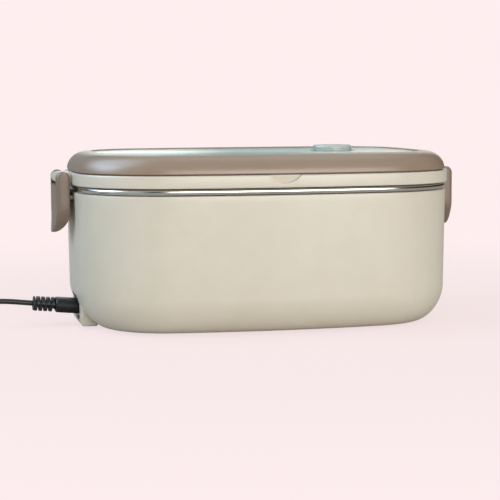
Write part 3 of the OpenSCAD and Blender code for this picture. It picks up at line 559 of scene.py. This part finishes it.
def coil_point(turn):
    leg, share = divmod(turn / COIL_TURNS, 1)
    radius = COIL_R - COIL_TURNS * COIL_PITCH * (share if leg % 2 == 0 else 1 - share)
    nearest = round(turn / COIL_TURNS)
    climb = min(max((turn - nearest * COIL_TURNS) * 2 + 0.5, 0), 1)
    layer = min(max(nearest - 1 + climb, 0), COIL_LAYERS - 1)
    angle = pi / 2 + 2 * pi * turn
    return Vector((COIL_C[0] + radius * cos(angle), COIL_C[1] + radius * sin(angle),
                   COIL_LOW + COIL_PITCH * layer))


def softened(points, steps=4):
    """Catmull-Rom curve through the points, for a lead without corners."""
    made = []
    for i in range(len(points) - 1):
        a, b, c, d = (points[max(i - 1, 0)], points[i], points[i + 1], points[min(i + 2, len(points) - 1)])
        for k in range(steps):
            t = k / steps
            made.append(0.5 * (2 * b + (c - a) * t + (2 * a - 5 * b + 4 * c - d) * t ** 2
                               + (3 * b - a - 3 * c + d) * t ** 3))
    return made + [points[-1]]


coil_top = COIL_LOW + (COIL_LAYERS - 1) * COIL_PITCH
free_part = [along_lead(RELIEF_END)] + [Vector(p) for p in (
    (-140, 0, 13.7), (-149, 0, 14.6), (-158, 0, 14.9), (-167, 0, 14.2), (-176, 0, 12.3),
    (-185, 0, 9.7), (-194, 0, 7), (-203, 0, 4.7), (-212, -1, 3.1), (-221, -2, 2.5),
    (COIL_C[0] + 2 * CORD_R, COIL_C[1] + COIL_R, COIL_LOW))]
tail_part = [Vector(p) for p in (
    (COIL_C[0] - 2 * CORD_R, COIL_C[1] + COIL_R, coil_top), (-242, -3, 13.6), (-250, -2, 13),
    (-258, 1, 11.8), (-265, 6, 10.2), (-269.4, 13, 8.6), (-269.4, 21, 7.6), (-266.6, 29, 7.1),
    (-260, 34, 7), (-252, 36, 7))] + [PLUG_END]
coil_part = [coil_point(i / 36) for i in range(int(COIL_LAYERS * COIL_TURNS * 36) + 1)]
route = softened(free_part) + coil_part + softened(tail_part)
lead_length = sum((b - a).length for a, b in zip(route, route[1:])) * MM
print("lead length in metres:", round(lead_length, 3), "points:", len(route))

# %% Lead
def make_lead(points):
    curve = bpy.data.curves.new("lead", "CURVE")
    curve.dimensions = "3D"
    curve.bevel_depth, curve.bevel_resolution = CORD_R * MM, 4
    curve.use_fill_caps = True
    line = curve.splines.new("POLY")
    line.points.add(len(points) - 1)
    for spot, point in zip(line.points, points):
        spot.co = (*(point * MM), 1)
    curve.materials.append(MATERIALS["lead_rubber"])
    return new_object("lead", curve)


lead = make_lead(route)
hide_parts("lead_cord", "lead_coil", "lead_tail")
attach(lead, "power_lead")

# %% [markdown]
# ## Repeating a piece
# Screws, feet and ribs repeat. A small Geometry Nodes tree puts a copy of one piece on
# every point of another, and then makes the copies real, because an export drops
# instances. The result is read back as a plain mesh.

# %% Geometry Nodes: opening, closing and using a tree
def open_tree(name, **inputs):
    """A tree with these inputs and a finish, and the values that it will be given."""
    return new_group(name, "GeometryNodeTree", {**inputs, "Finish": "Material"}, {"Geometry": "Geometry"})


def close_tree(tree, given, geometry):
    """Copies made real, the finish set and the geometry handed out."""
    real = add(tree, "GeometryNodeRealizeInstances", {"Geometry": geometry}).outputs["Geometry"]
    paint = add(tree, "GeometryNodeSetMaterial", {"Geometry": real, "Material": given["Finish"]})
    add(tree, "NodeGroupOutput", {"Geometry": paint.outputs["Geometry"]})
    return tree


def grown(holder, tree, material, values):
    """The plain mesh that a tree with these values makes from the holder."""
    step = holder.modifiers.new("grow", "NODES")
    step.node_group = tree
    values["Finish"] = MATERIALS[material]
    for item in tree.interface.items_tree:
        if item.name in values:
            step[item.identifier] = values[item.name]
    bpy.context.view_layer.update()
    return baked(holder, material)

# %% Geometry Nodes: a piece on every point
def make_repeat_tree():
    tree, given = open_tree("repeat_piece", Points="Geometry", Piece="Object")
    source = add(tree, "GeometryNodeObjectInfo", {"Object": given["Piece"]})
    placed = add(tree, "GeometryNodeInstanceOnPoints", {
        "Points": given["Points"], "Instance": source.outputs["Geometry"]})
    return close_tree(tree, given, placed.outputs["Instances"])


repeat_tree = make_repeat_tree()


def repeated(name, piece, points, material):
    """One mesh with a copy of the piece on each point; the piece itself is used up."""
    holder = make_piece(name, points, [], material)
    result = grown(holder, repeat_tree, material, {"Piece": piece})
    bpy.data.objects.remove(piece)
    return result


def place(piece, body, slot, *nodes):
    """The piece stands for these nodes, which it hides, and moves with the body; the slot is not used."""
    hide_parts(*nodes)
    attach(piece, body)
    print(piece.name, "faces:", len(piece.data.polygons))
    return piece

# %% [markdown]
# ## Body shell
# The outer shell is one smooth wall that leans out slightly towards its rim and rounds in
# to the base. Its profile is drawn once, from the base opening up the outside, over the
# rim and down the inside. A pocket with a small block below it takes the connector, and
# two slots near the rim catch the side clips.

# %% Heights and places shared by several parts
BASE_LOW, PLATE_TOP, BODY_TOP = 1.5, 4.1, 80
TUB_LOW, TUB_FLOOR, HEAT_TOP = 15.4, 17.4, 19.9
POT_LOW, RIM_TOP = 20.2, 83.8
RING_LOW, TRAY_LOW, TRAY_TOP, RING_TOP = 84.2, 86.2, 88.2, 91.3
COVER_LOW, WINDOW_LOW, COVER_TOP = 91.5, 101.3, 102.7
CAP_LOW, CAP_TOP = 101.2, 105.5
SCREW_SPOTS = [(x, y) for x in (-74, 74) for y in (-44, 44)]
FOOT_SPOTS = [(x, y) for x in (-58, 58) for y in (-34, 34)]
CLAMP_X = (-75, 75)


def foot_round(inset, low, width, height, steps):
    """Rounding from a flat bottom up into a wall, as pairs of inset and height."""
    power, turns = 2 / 1.7, [pi / 2 * i / steps for i in range(steps + 1)]
    return [(inset + width * (1 - sin(t) ** power), low + height * (1 - cos(t) ** power)) for t in turns]


def arc(x, y, radius, start, turn=90, steps=6):
    """Points round (x, y), from the start angle on through the turn, in degrees."""
    angles = [radians(start + turn * k / steps) for k in range(steps + 1)]
    return [(x + radius * cos(a), y + radius * sin(a)) for a in angles]


def above(level, rows):
    """Rows of inset and height, with their heights counted from a level."""
    return [(inset, level + rise) for inset, rise in rows]

# %% Body shell
def inlet_room():
    """The space for the inlet socket, turned along the lead's tilted axis."""
    tilt = Matrix.Translation(INLET) @ Matrix.Rotation(LEAD_TILT, 4, "Y")
    return block("inlet_room", (-2, -8.87, -5.47), (17.5, 8.87, 5.47), place=tilt)


def make_body():
    rim = [(1.3, BODY_TOP), (2.3, BODY_TOP), (2.65, 79.9), (2.8, 79.6), (2.8, 78), (5.2, 78),
           (5.2, 76.4), (2.8, 74)]
    wall = ([(20, BASE_LOW)] + foot_round(1.4, BASE_LOW, 15, 20, 18)
            + [(1.07, 40), (0.74, 60), (0.46, 76), (0.4, 79.1), (0.52, 79.6), (0.85, 79.92)] + rim
            + foot_round(3.8, 5.7, 15, 15.8, 8)[::-1] + [(24, 5.7), (24, PLATE_TOP), (20, PLATE_TOP)])
    body = shell("body_shell_skin", wall, "cream_body", closed_row=True)
    blocks = [block("low_block", (-108.5, -25, BASE_LOW), (-99, 25, 15), rounding=1.2),
              block("high_block", (-108.5, -14.5, BASE_LOW + 0.01), (-99, 14.5, 23), rounding=1.2)]
    body = join(body, blocks)
    slope = Matrix.Translation((-101, 0, 17)) @ Matrix.Rotation(radians(9), 4, "Y")
    tools = [block("pocket", (-116, -12.5, 4), (-101, 12.5, 17), rounding=0.8),
             block("pocket_roof", (-24, -12.5, -6), (0, 12.5, 0), place=slope), inlet_room()]
    for side in (-1, 1):
        tools += [block("catch_slot", (side * 110, -16.9, 73.6), (side * 116, 16.9, 78.6), rounding=0.5),
                  block("block_hollow", (-106.1, side * 16.8, 3.9), (-98, side * 20.7, 12))]
    return cut(body, tools)


place(make_body(), "base", "cream_shell", "body_shell")

# %% [markdown]
# ## Inner tub, plate and base cover
# Inside the shell sits a pale tub. It carries the steel container on a wide rim and holds
# an aluminium plate that the heater warms. They show when the container is lifted out.
# The base cover closes the bottom and carries four feet and four screws.

# %% Inner tub
def make_tub():
    wall = foot_round(7.0, TUB_LOW, 17.6, 21.8, 8)
    rim = [(5.6, 78), (3.1, 78), (3.1, 79.6), (3.35, 79.93), (3.7, BODY_TOP), (6.6, BODY_TOP),
           (7.05, 79.85), (7.2, 79.4)]
    inside = foot_round(8.6, TUB_FLOOR, 16, 19.8, 14)[::-1]
    tub = shell("inner_tub_skin", wall + rim + inside, "white_tub")
    posts = [upright("post", x, y, PLATE_TOP, TUB_LOW + 1, 4) for x, y in SCREW_SPOTS]
    posts += [upright("clamp_post", x, 0, 12.4, 16.4, 4) for x in CLAMP_X]
    tub = join(tub, posts)
    tools = [block("heater_room", (-68, -15, 14), (68, 15, 18.5)),
             upright("thermostat_room", 0, 33, 14, 19, 8.3)]
    tools += [upright("screw_bore", x, y, 3, 13.1, 1.52) for x, y in SCREW_SPOTS]
    tools += [upright("clamp_bore", x, 0, 11.5, 15.4, 1.22) for x in CLAMP_X]
    return cut(tub, tools)


place(make_tub(), "base", "tub_plastic", "inner_tub")

# %% Heating plate and insulation
def make_plate():
    edge = (above(TUB_FLOOR, [(28.6, 0), (28.1, 0.25), (28, 0.8)])
            + above(HEAT_TOP, [(28, -0.8), (28.15, -0.3), (28.6, 0), (38, 0), (38.4, -0.35),
                               (40.2, -0.35), (40.6, 0)]))
    return shell("heating_plate_skin", edge, "plate_aluminium")


place(make_plate(), "base", "plate_aluminium", "heating_plate")

# %% Base cover
def make_base_cover():
    edge = above(BASE_LOW, [(24, 0), (23.6, 0.3), (22.6, 0.3), (22.2, 0), (20.8, 0), (20.4, 0.15),
                            (20.3, 0.5)]) + [(20.3, PLATE_TOP)]
    cover = shell("base_cover_skin", edge, "base_plastic")
    tools = [inlet_room()]
    for x, y in SCREW_SPOTS:
        tools += [upright("head_seat", x, y, 0, 3.1, 3.1), upright("bore", x, y, 0, 5, 1.52)]
    tools += [upright("foot_seat", x, y, 0, BASE_LOW + 0.8, 6.02) for x, y in FOOT_SPOTS]
    return cut(cover, tools)


place(make_base_cover(), "base", "base_plastic", "base_cover")

# %% Screws and feet
def make_screw():
    head = spun("screw", [(0.2, 1.8), (2.3, 1.8), (2.65, 1.95), (2.8, 2.25), (2.8, 3.1), (1.5, 3.1),
                          (1.5, 10.7), (0.9, 11.1), (0.2, 11.1)], "zinc_steel", steps=32)
    cross = [block("cross", (-x, -y, 1), (x, y, 2.6)) for x, y in ((1.7, 0.3), (0.3, 1.7))]
    return cut(head, cross)


def make_foot():
    return spun("foot", [(0.2, 0.25), (4.2, 0.25), (4.4, 0.05), (4.8, 0), (5.5, 0), (5.85, 0.12),
                         (6, 0.45), (6, 2.3), (0.2, 2.3)], "foot_rubber", steps=48)


for name, maker, spots, material, node in (
        ("base_screw_set", make_screw, SCREW_SPOTS, "zinc_steel", "base_screws"),
        ("foot_set", make_foot, FOOT_SPOTS, "foot_rubber", "rubber_feet")):
    pieces = repeated(name, maker(), [(x, y, 0) for x, y in spots], material)
    place(pieces, "base", material, node)

# %% [markdown]
# ## Steel container
# The container is pressed from one sheet of steel and its mouth is rolled into a thick
# round bead. The bead is the bright band between lid and body. The skin goes up the
# outside, round the bead and down the inside, with a shallow step round the bottom.

# %% Container
def make_container():
    outside = foot_round(9.6, POT_LOW, 16, 17, 14)
    bead_in, bead_z, bead_r = 2.45, 82.05, 1.75
    neck = [(8.2, 82.2), (4.9, 82.3), (4.55, 82.2)]
    bead = []
    for t in range(-30, -271, -10):
        side, up = cos(radians(t)), sin(radians(t))
        bead.append((bead_in + bead_r * copysign(abs(side) ** 0.75, side), bead_z + bead_r * up))
    lip = above(RIM_TOP, [(3.2, 0), (7.6, 0), (8.6, -0.25), (9.1, -0.9)]) + [(9.2, 82.4)]
    bottom = foot_round(10.6, POT_LOW + 1, 16, 16, 14)[::-1]
    floor_step = above(POT_LOW, [(34, 1), (35.2, 1.35), (37, 1.5), (39, 1.5)])
    return shell("container_skin", outside + neck + bead + lip + bottom + floor_step, "container_steel")


place(make_container(), "container", "container_steel", "food_container")

# %% [markdown]
# ## Lid frame
# The lid is a cream ring with a tray floor. Its underside has a skirt that reaches into
# the container and a groove for the seal. On top stand the vent's chimney and the middle
# knuckle of the hinge, and each short side has an ear that a clip hangs on. A shallow
# finger notch in front helps to lift the cover.

# %% Clip and hinge places
CLIP_IN, CLIP_T, CLIP_LOW = 113.7, 7.8, 55.5
PIN_X, PIN_Z = 118.4, 88.0
HINGE_Y, HINGE_Z, KNUCKLE_R, KNUCKLE_ROOM = 85.0, 92.3, 2.4, 2.8
VENT_X, NOTCH_W, NOTCH_H = 50.0, 18, 4.6

def hinge_rod(name, start, end, radius):
    """A rod along the cover's hinge axis, by distances from the middle of the box."""
    low, high = sorted((start, end))
    return rod(name, (low, HINGE_Y, HINGE_Z), (high, HINGE_Y, HINGE_Z), radius)

# %% Lid frame
def make_lid():
    groove = [(11.6, 80.6), (11.4, 80.3), (11.1, 80.2), (10.4, 80.2), (10.1, 80.3), (9.9, 80.6)]
    under = (above(TRAY_LOW, [(24, 0), (12.2, 0), (11.8, -0.4)]) + groove
             + above(TRAY_LOW, [(9.9, -0.1), (9.7, 0), (4.8, 0)]) + [(4.8, 84.3)]
             + above(RING_LOW, [(4.6, 0), (0.1, 0), (-0.35, 0.1), (-0.6, 0.4), (-0.7, 0.9)]))
    over = (above(RING_TOP, [(-0.7, -1.0), (-0.6, -0.45), (-0.3, -0.1), (0.2, 0), (2.9, 0),
                             (3.2, -0.15), (3.3, -0.5)])
            + above(TRAY_TOP, [(3.3, 1.6), (3.5, 0.9), (4.1, 0.3), (5.2, 0), (24, 0)]))
    lid = shell("lid_skin", under + over, "cream_lid")
    chimney = [(8.9, TRAY_LOW + 0.5), (8.9, TRAY_TOP - 0.1), (8.5, TRAY_TOP + 0.5), (8.5, 100.7),
               (8.1, 101.1), (6.0, 101.1), (5.2, 100.5), (5.2, TRAY_LOW + 0.5)]
    posts = [spun("chimney", chimney, "cream_lid", Matrix.Translation((VENT_X, 0, 0))),
             hinge_rod("knuckle", -12, 12, KNUCKLE_R)]
    for x in (-PIN_X, PIN_X):
        ear_in = copysign(111, x)
        posts += [rod("ear_end", (x, -14, PIN_Z), (x, 14, PIN_Z), 3.2),
                  block("ear", (ear_in, -14, PIN_Z - 3.2), (x, 14, PIN_Z + 3.2))]
    lid = join(lid, posts)
    notch_r = (NOTCH_W ** 2 / 4 + NOTCH_H ** 2) / (2 * NOTCH_H)
    tools = [upright("vent_bore", VENT_X, 0, 85, 103, 5.5, steps=64),
             hinge_rod("pin_hole", -14, 14, 1.0),
             rod("notch", (0, -92, RING_TOP + notch_r - 5.8),
                 (0, -BODY_D / 2 + 0.5, RING_TOP + notch_r - 4.7), notch_r, steps=128)]
    for side in (-1, 1):
        tools += [rod("clip_pin_hole", (side * PIN_X, -16, PIN_Z), (side * PIN_X, 16, PIN_Z), 1.06),
                  hinge_rod("knuckle_room", side * 12, side * 20.6, KNUCKLE_ROOM)]
    return cut(lid, tools)


place(make_lid(), "lid", "cream_lid", "lid_frame")

# %% [markdown]
# ## Seal
# The silicone seal is one soft profile swept along the lid's outline. Geometry Nodes does
# exactly this: a curve, a profile curve and Curve to Mesh.

# %% Geometry Nodes: a profile along a path
def make_sweep_tree():
    tree, given = open_tree("sweep_profile", Path="Geometry", Width="Float", Height="Float")
    path = add(tree, "GeometryNodeMeshToCurve", {"Mesh": given["Path"]})
    section = add(tree, "GeometryNodeCurvePrimitiveQuadrilateral",
                  {"Width": given["Width"], "Height": given["Height"]})
    soft = add(tree, "GeometryNodeFilletCurve",
               {"Curve": section.outputs["Curve"], "Count": 3, "Radius": 0.5 * MM}, mode="POLY")
    sweep = add(tree, "GeometryNodeCurveToMesh",
                {"Curve": path.outputs["Curve"], "Profile Curve": soft.outputs["Curve"]})
    return close_tree(tree, given, sweep.outputs["Mesh"])


def swept(name, path, width, height, material):
    mesh, count = bpy.data.meshes.new(name), len(path)
    mesh.from_pydata([Vector(p) * MM for p in path], [(i, (i + 1) % count) for i in range(count)], [])
    values = {"Width": width * MM, "Height": height * MM}
    return grown(new_object(name, mesh), make_sweep_tree(), material, values)


seal_path = [(x, y, 85.05) for x, y in outline(6.8)]
place(swept("seal_skin", seal_path, 3.7, 2.2, "silicone"), "lid", "seal_silicone", "lid_seal")

# %% [markdown]
# ## Hinged cover
# The taupe cover is a low dome: a short lip, a shoulder that follows a quarter of an
# ellipse, and a flat border round the window. The shoulder's foot leans in a little, as a
# mould needs. Two knuckles at the back turn on a steel pin.

# %% Cover
def shoulder(inset, low, width, height, steps):
    """Rounding from a wall up onto a flat top: a quarter of an ellipse."""
    turns = [pi / 2 * i / steps for i in range(steps + 1)]
    return [(inset + width * (1 - cos(t)), low + height * sin(t)) for t in turns]


def make_cover():
    foot = COVER_LOW + 0.8
    lip = above(COVER_LOW, [(2.5, 0), (2.3, 0.4), (1.3, 0.45), (0.9, 0.55)])
    drafted = [(inset + 0.15 * (1 - exp((foot - z) / 2.2)), z)
               for inset, z in shoulder(0.75, foot, 12, COVER_TOP - 0.2 - foot, 20)]
    border = (above(COVER_TOP, [(14.9, 0), (15.5, -0.05), (15.85, -0.3), (16.0, -0.7)])
              + above(WINDOW_LOW, [(16.0, 0), (20, 0), (20, -1.3)]))
    inside = shoulder(3.2, COVER_LOW + 1.8, 11.6, 6.4, 10)[::-1] + above(COVER_LOW, [(3.2, 0.2), (3.0, 0)])
    cover = shell("cover_skin", lip + drafted + border + inside, "taupe_cover", closed_row=True)
    knuckles = []
    for side in (-1, 1):
        near, far = side * 12.3, side * 20.3
        knuckles += [hinge_rod("knuckle", near, far, KNUCKLE_R),
                     block("arm", (near, HINGE_Y - 3.2, COVER_LOW), (far, HINGE_Y, HINGE_Z + 2.39))]
    cover = join(cover, knuckles)
    tools = [hinge_rod("knuckle_room", -12.3, 12.3, KNUCKLE_ROOM), hinge_rod("pin_hole", -22, 22, 1.06)]
    return cut(cover, tools)


place(make_cover(), "top_cover", "taupe_cover", "hinged_cover")

# %% Window
def make_window():
    edge = above(WINDOW_LOW, [(16.6, 0), (16.2, 0.25)]) + above(COVER_TOP, [(16.2, -0.8), (16.6, -0.6)])
    window = shell("window_skin", edge, "window_plastic")
    return cut(window, [upright("vent_hole", VENT_X, 0, 100, 104, 13.8, steps=96)])


place(make_window(), "top_cover", "window_plastic", "cover_window")

# %% [markdown]
# ## Vent cap
# A small round cap closes the steam vent. It stands a little proud of the window, so it
# can be pulled up with two fingers. A groove round its side and a shallow dish on top
# give grip.

# %% Vent cap
def make_cap():
    side = [(0.2, 97.1), (4.7, 97.1), (5.1, 97.5), (5.1, CAP_LOW), (8.9, CAP_LOW), (8.9, 95.4), (9.2, 95.1),
            (10, 95.1), (10.3, 95.4), (10.3, CAP_LOW), (11.6, CAP_LOW), (12, CAP_LOW + 0.4), (12, 102.9),
            (11.75, 103.1), (11.75, 103.5), (12, 103.7), (12, CAP_TOP - 1.5)]
    rounding = arc(10.5, CAP_TOP - 1.5, 1.5, 15, 75, 5)
    dish = above(CAP_TOP, [(9.4, 0), (8.9, -0.15), (7, -0.6), (4, -0.8), (0.2, -0.85)])
    profile = side + rounding + dish
    return spun("vent_cap_skin", profile, "vent_plastic", Matrix.Translation((VENT_X, 0, 0)), 96)


place(make_cap(), "vent", "vent_plastic", "vent_cap")

# %% [markdown]
# ## Side clips
# A clip is a moulded hook, 40 mm wide, that hangs on a pin in the lid's ear. Its finger
# end curls outwards, and a ridge inside snaps into the slot of the body. The skin is a
# stack of rounded sections from the finger end up to the top, so every long edge is soft.

# %% Clip
CLIP_OUT, TOP_R, CLIP_BEND = CLIP_IN + CLIP_T, CLIP_T / 2, CLIP_LOW + 12.5
CURL_OUT, CURL_IN, END_R = 49, 14.6, 22


def clip_faces(z):
    """Inner and outer distance from the middle of the box at a height."""
    if z > PIN_Z:
        middle, half = CLIP_IN + TOP_R, sqrt(max(TOP_R ** 2 - (z - PIN_Z) ** 2, 0.09))
        return middle - half, middle + half
    if z > CLIP_BEND:
        return CLIP_IN, CLIP_OUT
    drop = (z - CLIP_BEND) ** 2
    return (CLIP_IN + CURL_IN - sqrt(max(CURL_IN ** 2 - drop, 0)),
            CLIP_OUT + CURL_OUT - sqrt(CURL_OUT ** 2 - drop))


def clip_half_width(z):
    centre = CLIP_LOW + END_R
    return 20.0 if z > centre - 9 else min(20.0, sqrt(max(END_R ** 2 - (z - centre) ** 2, 0.5)))


def clip_section(z, side, round_in=1.0, round_out=2.4):
    inner, outer = clip_faces(z)
    half, thick = clip_half_width(z), outer - inner
    points = []
    for sx, sy, radius, start in ((1, -1, round_out, -90), (1, 1, round_out, 0),
                                  (-1, 1, round_in, 90), (-1, -1, round_in, 180)):
        radius = min(radius, thick * 0.46, half * 0.9)
        cx, cy = (outer - radius) if sx > 0 else (inner + radius), sy * (half - radius)
        points += [(side * x, y, z) for x, y in arc(cx, cy, radius, start)]
    return points


def make_clip(name, side):
    heights = ([CLIP_LOW + rise for rise in (0.03, 0.12, 0.3, 0.6)]
               + [CLIP_LOW + 1 + 0.75 * i for i in range(16)] + [70, 74, 78, 82, 85, 87, PIN_Z]
               + [PIN_Z + (TOP_R - 0.01) * sin(radians(t)) for t in range(10, 91, 10)])
    clip = skin(name, [clip_section(z, side) for z in heights], "taupe_clip")
    ridge = block("ridge", (side * 110.7, -16.5, 75.4), (side * (CLIP_IN + 1), 16.5, 78.2), rounding=0.5)
    clip = join(clip, [ridge])
    tools = [block("ear_slot", (side * (CLIP_IN - 1), -14.3, PIN_Z - 4.1),
                   (side * (CLIP_OUT + 2), 14.3, PIN_Z + CLIP_T)),
             rod("pin_hole", (side * PIN_X, -18.6, PIN_Z), (side * PIN_X, 18.6, PIN_Z), 1.0)]
    return cut(clip, tools)


def make_clip_pin(name, side):
    """A polished pin with rounded ends, hidden between the clip's closed cheeks."""
    turn = Matrix.Translation((side * PIN_X, 0, PIN_Z)) @ Matrix.Rotation(radians(90), 4, "X")
    profile = [(0.2, -18.5), (0.7, -18.5), (0.98, -18.1), (0.98, 18.1), (0.7, 18.5), (0.2, 18.5)]
    return spun(name, profile, "pin_steel", turn, 40)


for make, ending, material, node in ((make_clip, "clip_skin", "taupe_clip", "clip"),
                                     (make_clip_pin, "clip_rod", "pin_steel", "clip_pin")):
    for label, side in (("left", -1), ("right", 1)):
        place(make(f"{label}_{ending}", side), f"{label}_latch", material, f"{label}_{node}")

# %% [markdown]
# ## Connector and strain relief
# The connector is an oval bar of black plastic that tilts up slightly. Behind it the
# strain relief is cut by slots from above and below in turn, so that it bends. It is
# made as a core with a row of ribs, and Geometry Nodes put the ribs in place.

# %% Connector
def oval(half, radius, steps):
    """Side and height round an oval: a flat of half width each way, and round ends."""
    right = arc(half, 0, radius, -90, 180, steps)
    return right + [(-y, -z) for y, z in right]


def oval_bar(name, rows, material):
    """A bar along the lead: rows of distance, half width of the flat and radius."""
    return skin(name, [[along_lead(d, y, z) for y, z in oval(half, r, 12)] for d, half, r in rows], material)


def make_connector():
    rows = [(-11.5, 3.4, 3.3), (-11.3, 3.4, 3.85), (-10.8, 3.4, 4.05), (0.3, 3.4, 4.05), (0.3, 3.4, 4.3),
            (0.6, 3.4, 4.35), (19.4, 3.3, 4.33), (20.3, 3.2, 4.2), (20.7, 3.1, 3.8)]
    tools = [rod("pin_room", along_lead(-13, s), along_lead(-2, s), 1.3) for s in (-3.4, 3.4)]
    return cut(oval_bar("connector_skin", rows, "black_plastic"), tools)


place(make_connector(), "power_lead", "black_plastic", "lead_connector")

# %% Strain relief
RELIEF_START, RELIEF_PITCH, SLOT = 20.7, 13.3 / 4.5, 1.0


def half_rib(side, width):
    """The upper or lower half of one rib, centred where the lead leaves the box."""
    rows = [(sign * (width / 2 - inset), half, r) for sign, inset, half, r in (
        (-1, 0, 1.5, 4.05), (-1, 0.2, 1.6, 4.25), (1, 0.2, 1.6, 4.25), (1, 0, 1.5, 4.05))]
    rings = [[along_lead(d, y, side * max(side * z, 0.4)) - along_lead(0)
              for y, z in oval(half, r, 10)] for d, half, r in rows]
    return skin("rib", rings, "lead_rubber")


def make_relief():
    rows = [(20.6, 1.6, 3.4), (21.2, 1.3, 2.6), (30, 0.9, 2.3), (32.9, 0.7, 2.2), (32.95, 1.5, 4.0),
            (33.1, 1.6, 4.15), (33.8, 1.55, 4.1), (RELIEF_END, 1.4, 3.8)]
    ribs = []
    for side, first in ((1, 0.5), (-1, 1.0)):
        spots = [along_lead(RELIEF_START + (i + first) * RELIEF_PITCH) for i in range(4)]
        ribs.append(repeated("ribs", half_rib(side, RELIEF_PITCH - SLOT), spots, "lead_rubber"))
    return join(oval_bar("relief_skin", rows, "lead_rubber"), ribs)


place(make_relief(), "power_lead", "lead_rubber", "strain_relief")

# %% [markdown]
# ## Plug, blades and tie
# The plug is a plain rounded block with grip grooves in two broad sides, a short collar
# for the lead and two flat blades. A plastic band holds the coil together.

# %% Plug
def rounded_rectangle(low, high, radius):
    """Points round a rectangle between two corners, with its own corners rounded."""
    points = []
    for i, j, start in ((1, 1, 0), (0, 1, 90), (0, 0, 180), (1, 0, 270)):
        centre = [(high[k] - radius) if top else (low[k] + radius) for k, top in enumerate((i, j))]
        points += arc(*centre, radius, start)
    return points


def make_plug():
    rows = [(0.02, 6.4, 5.6, 2.6), (0.6, 7.2, 6.2, 2.9), (4.8, 10, 8, 3.4), (6.0, 11.6, 8.9, 3.4),
            (6.4, 15, 11, 4), (7.6, 21, 13, 4.8), (9.2, 23.6, 13.9, 5), (11, 24, 14, 5),
            (26.4, 24, 14, 5), (27.4, 23.4, 13.4, 4.8), (27.9, 22, 12, 4.4)]
    rings = [[PLUG_END + Vector((x, y, z)) for y, z in rounded_rectangle((-w / 2, -h / 2), (w / 2, h / 2), r)]
             for x, w, h, r in rows]
    plug = skin("plug_skin", rings, "black_plastic", sharp=40)
    spots = [PLUG_END + Vector((13 + 2.4 * i, 0, 0)) for i in range(5)]
    for name, low, high in (("grip_set", -6.99, -6.3), ("grip_set_top", 6.3, 6.99)):
        grip = block("grip", (-0.5, -6, low), (0.5, 6, high))
        plug = cut(plug, [repeated(name, grip, spots, "black_plastic")])
    return plug


plug = place(make_plug(), "power_lead", "black_plastic", "mains_plug")

# %% Blades
def make_blades():
    parts, (x, middle, z) = [], PLUG_END + Vector((27.7, 0, 0))
    for y in (middle - 6.35, middle + 6.35):
        blade = block("blade", (x, y - 0.75, z - 3.15), (x + 16.3, y + 0.75, z + 3.15), "brass", rounding=0.3)
        eye = rod("eye", (x + 12.1, y - 2, z), (x + 12.1, y + 2, z), 1.575)
        parts.append(cut(blade, [eye]))
    blades = join(parts[0], parts[1:])
    blades.name = "blade_pair"
    return blades


blades = place(make_blades(), "power_lead", "blade_brass", "plug_blades")

# %% Tie
def make_tie():
    outer, inner = (rounded_rectangle((-25 + inset, 0.1 + inset), (-11.3 - inset, 16.2 - inset), 2.6 - inset)
                    for inset in (0.0, 0.7))
    rows = [[(COIL_C[0] + x, COIL_C[1] + y, z) for y, z in ring]
            for x, ring in ((-3, outer), (3, outer), (3, inner), (-3, inner))]
    return skin("tie_skin", rows, "tie_plastic", closed_row=True)


tie = place(make_tie(), "power_lead", "tie_plastic", "coil_tie")

# %% [markdown]
# ## Parts that keep their solids
# Pins, wires, heater and the other inner parts are simple shapes, so the exact solids
# stay. They get the material of what they are made of.

# %% Materials of the remaining nodes
KEPT = {
    "heater_blocks": "ceramic", "heater_clamp": "spring_steel", "clamp_screws": "zinc_steel",
    "thermostat": "phenolic", "thermal_fuse": "fuse_sleeve", "live_wires": "brown_wire",
    "neutral_wires": "blue_wire", "insulation_pad": "insulation", "inlet_socket": "black_plastic",
    "inlet_pins": "brass", "cover_hinge_pin": "pin_steel",
}
for node, material in KEPT.items():
    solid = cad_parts[node]
    solid.data.materials.clear()
    solid.data.materials.append(MATERIALS[material])
print("kept solids:", len(KEPT))
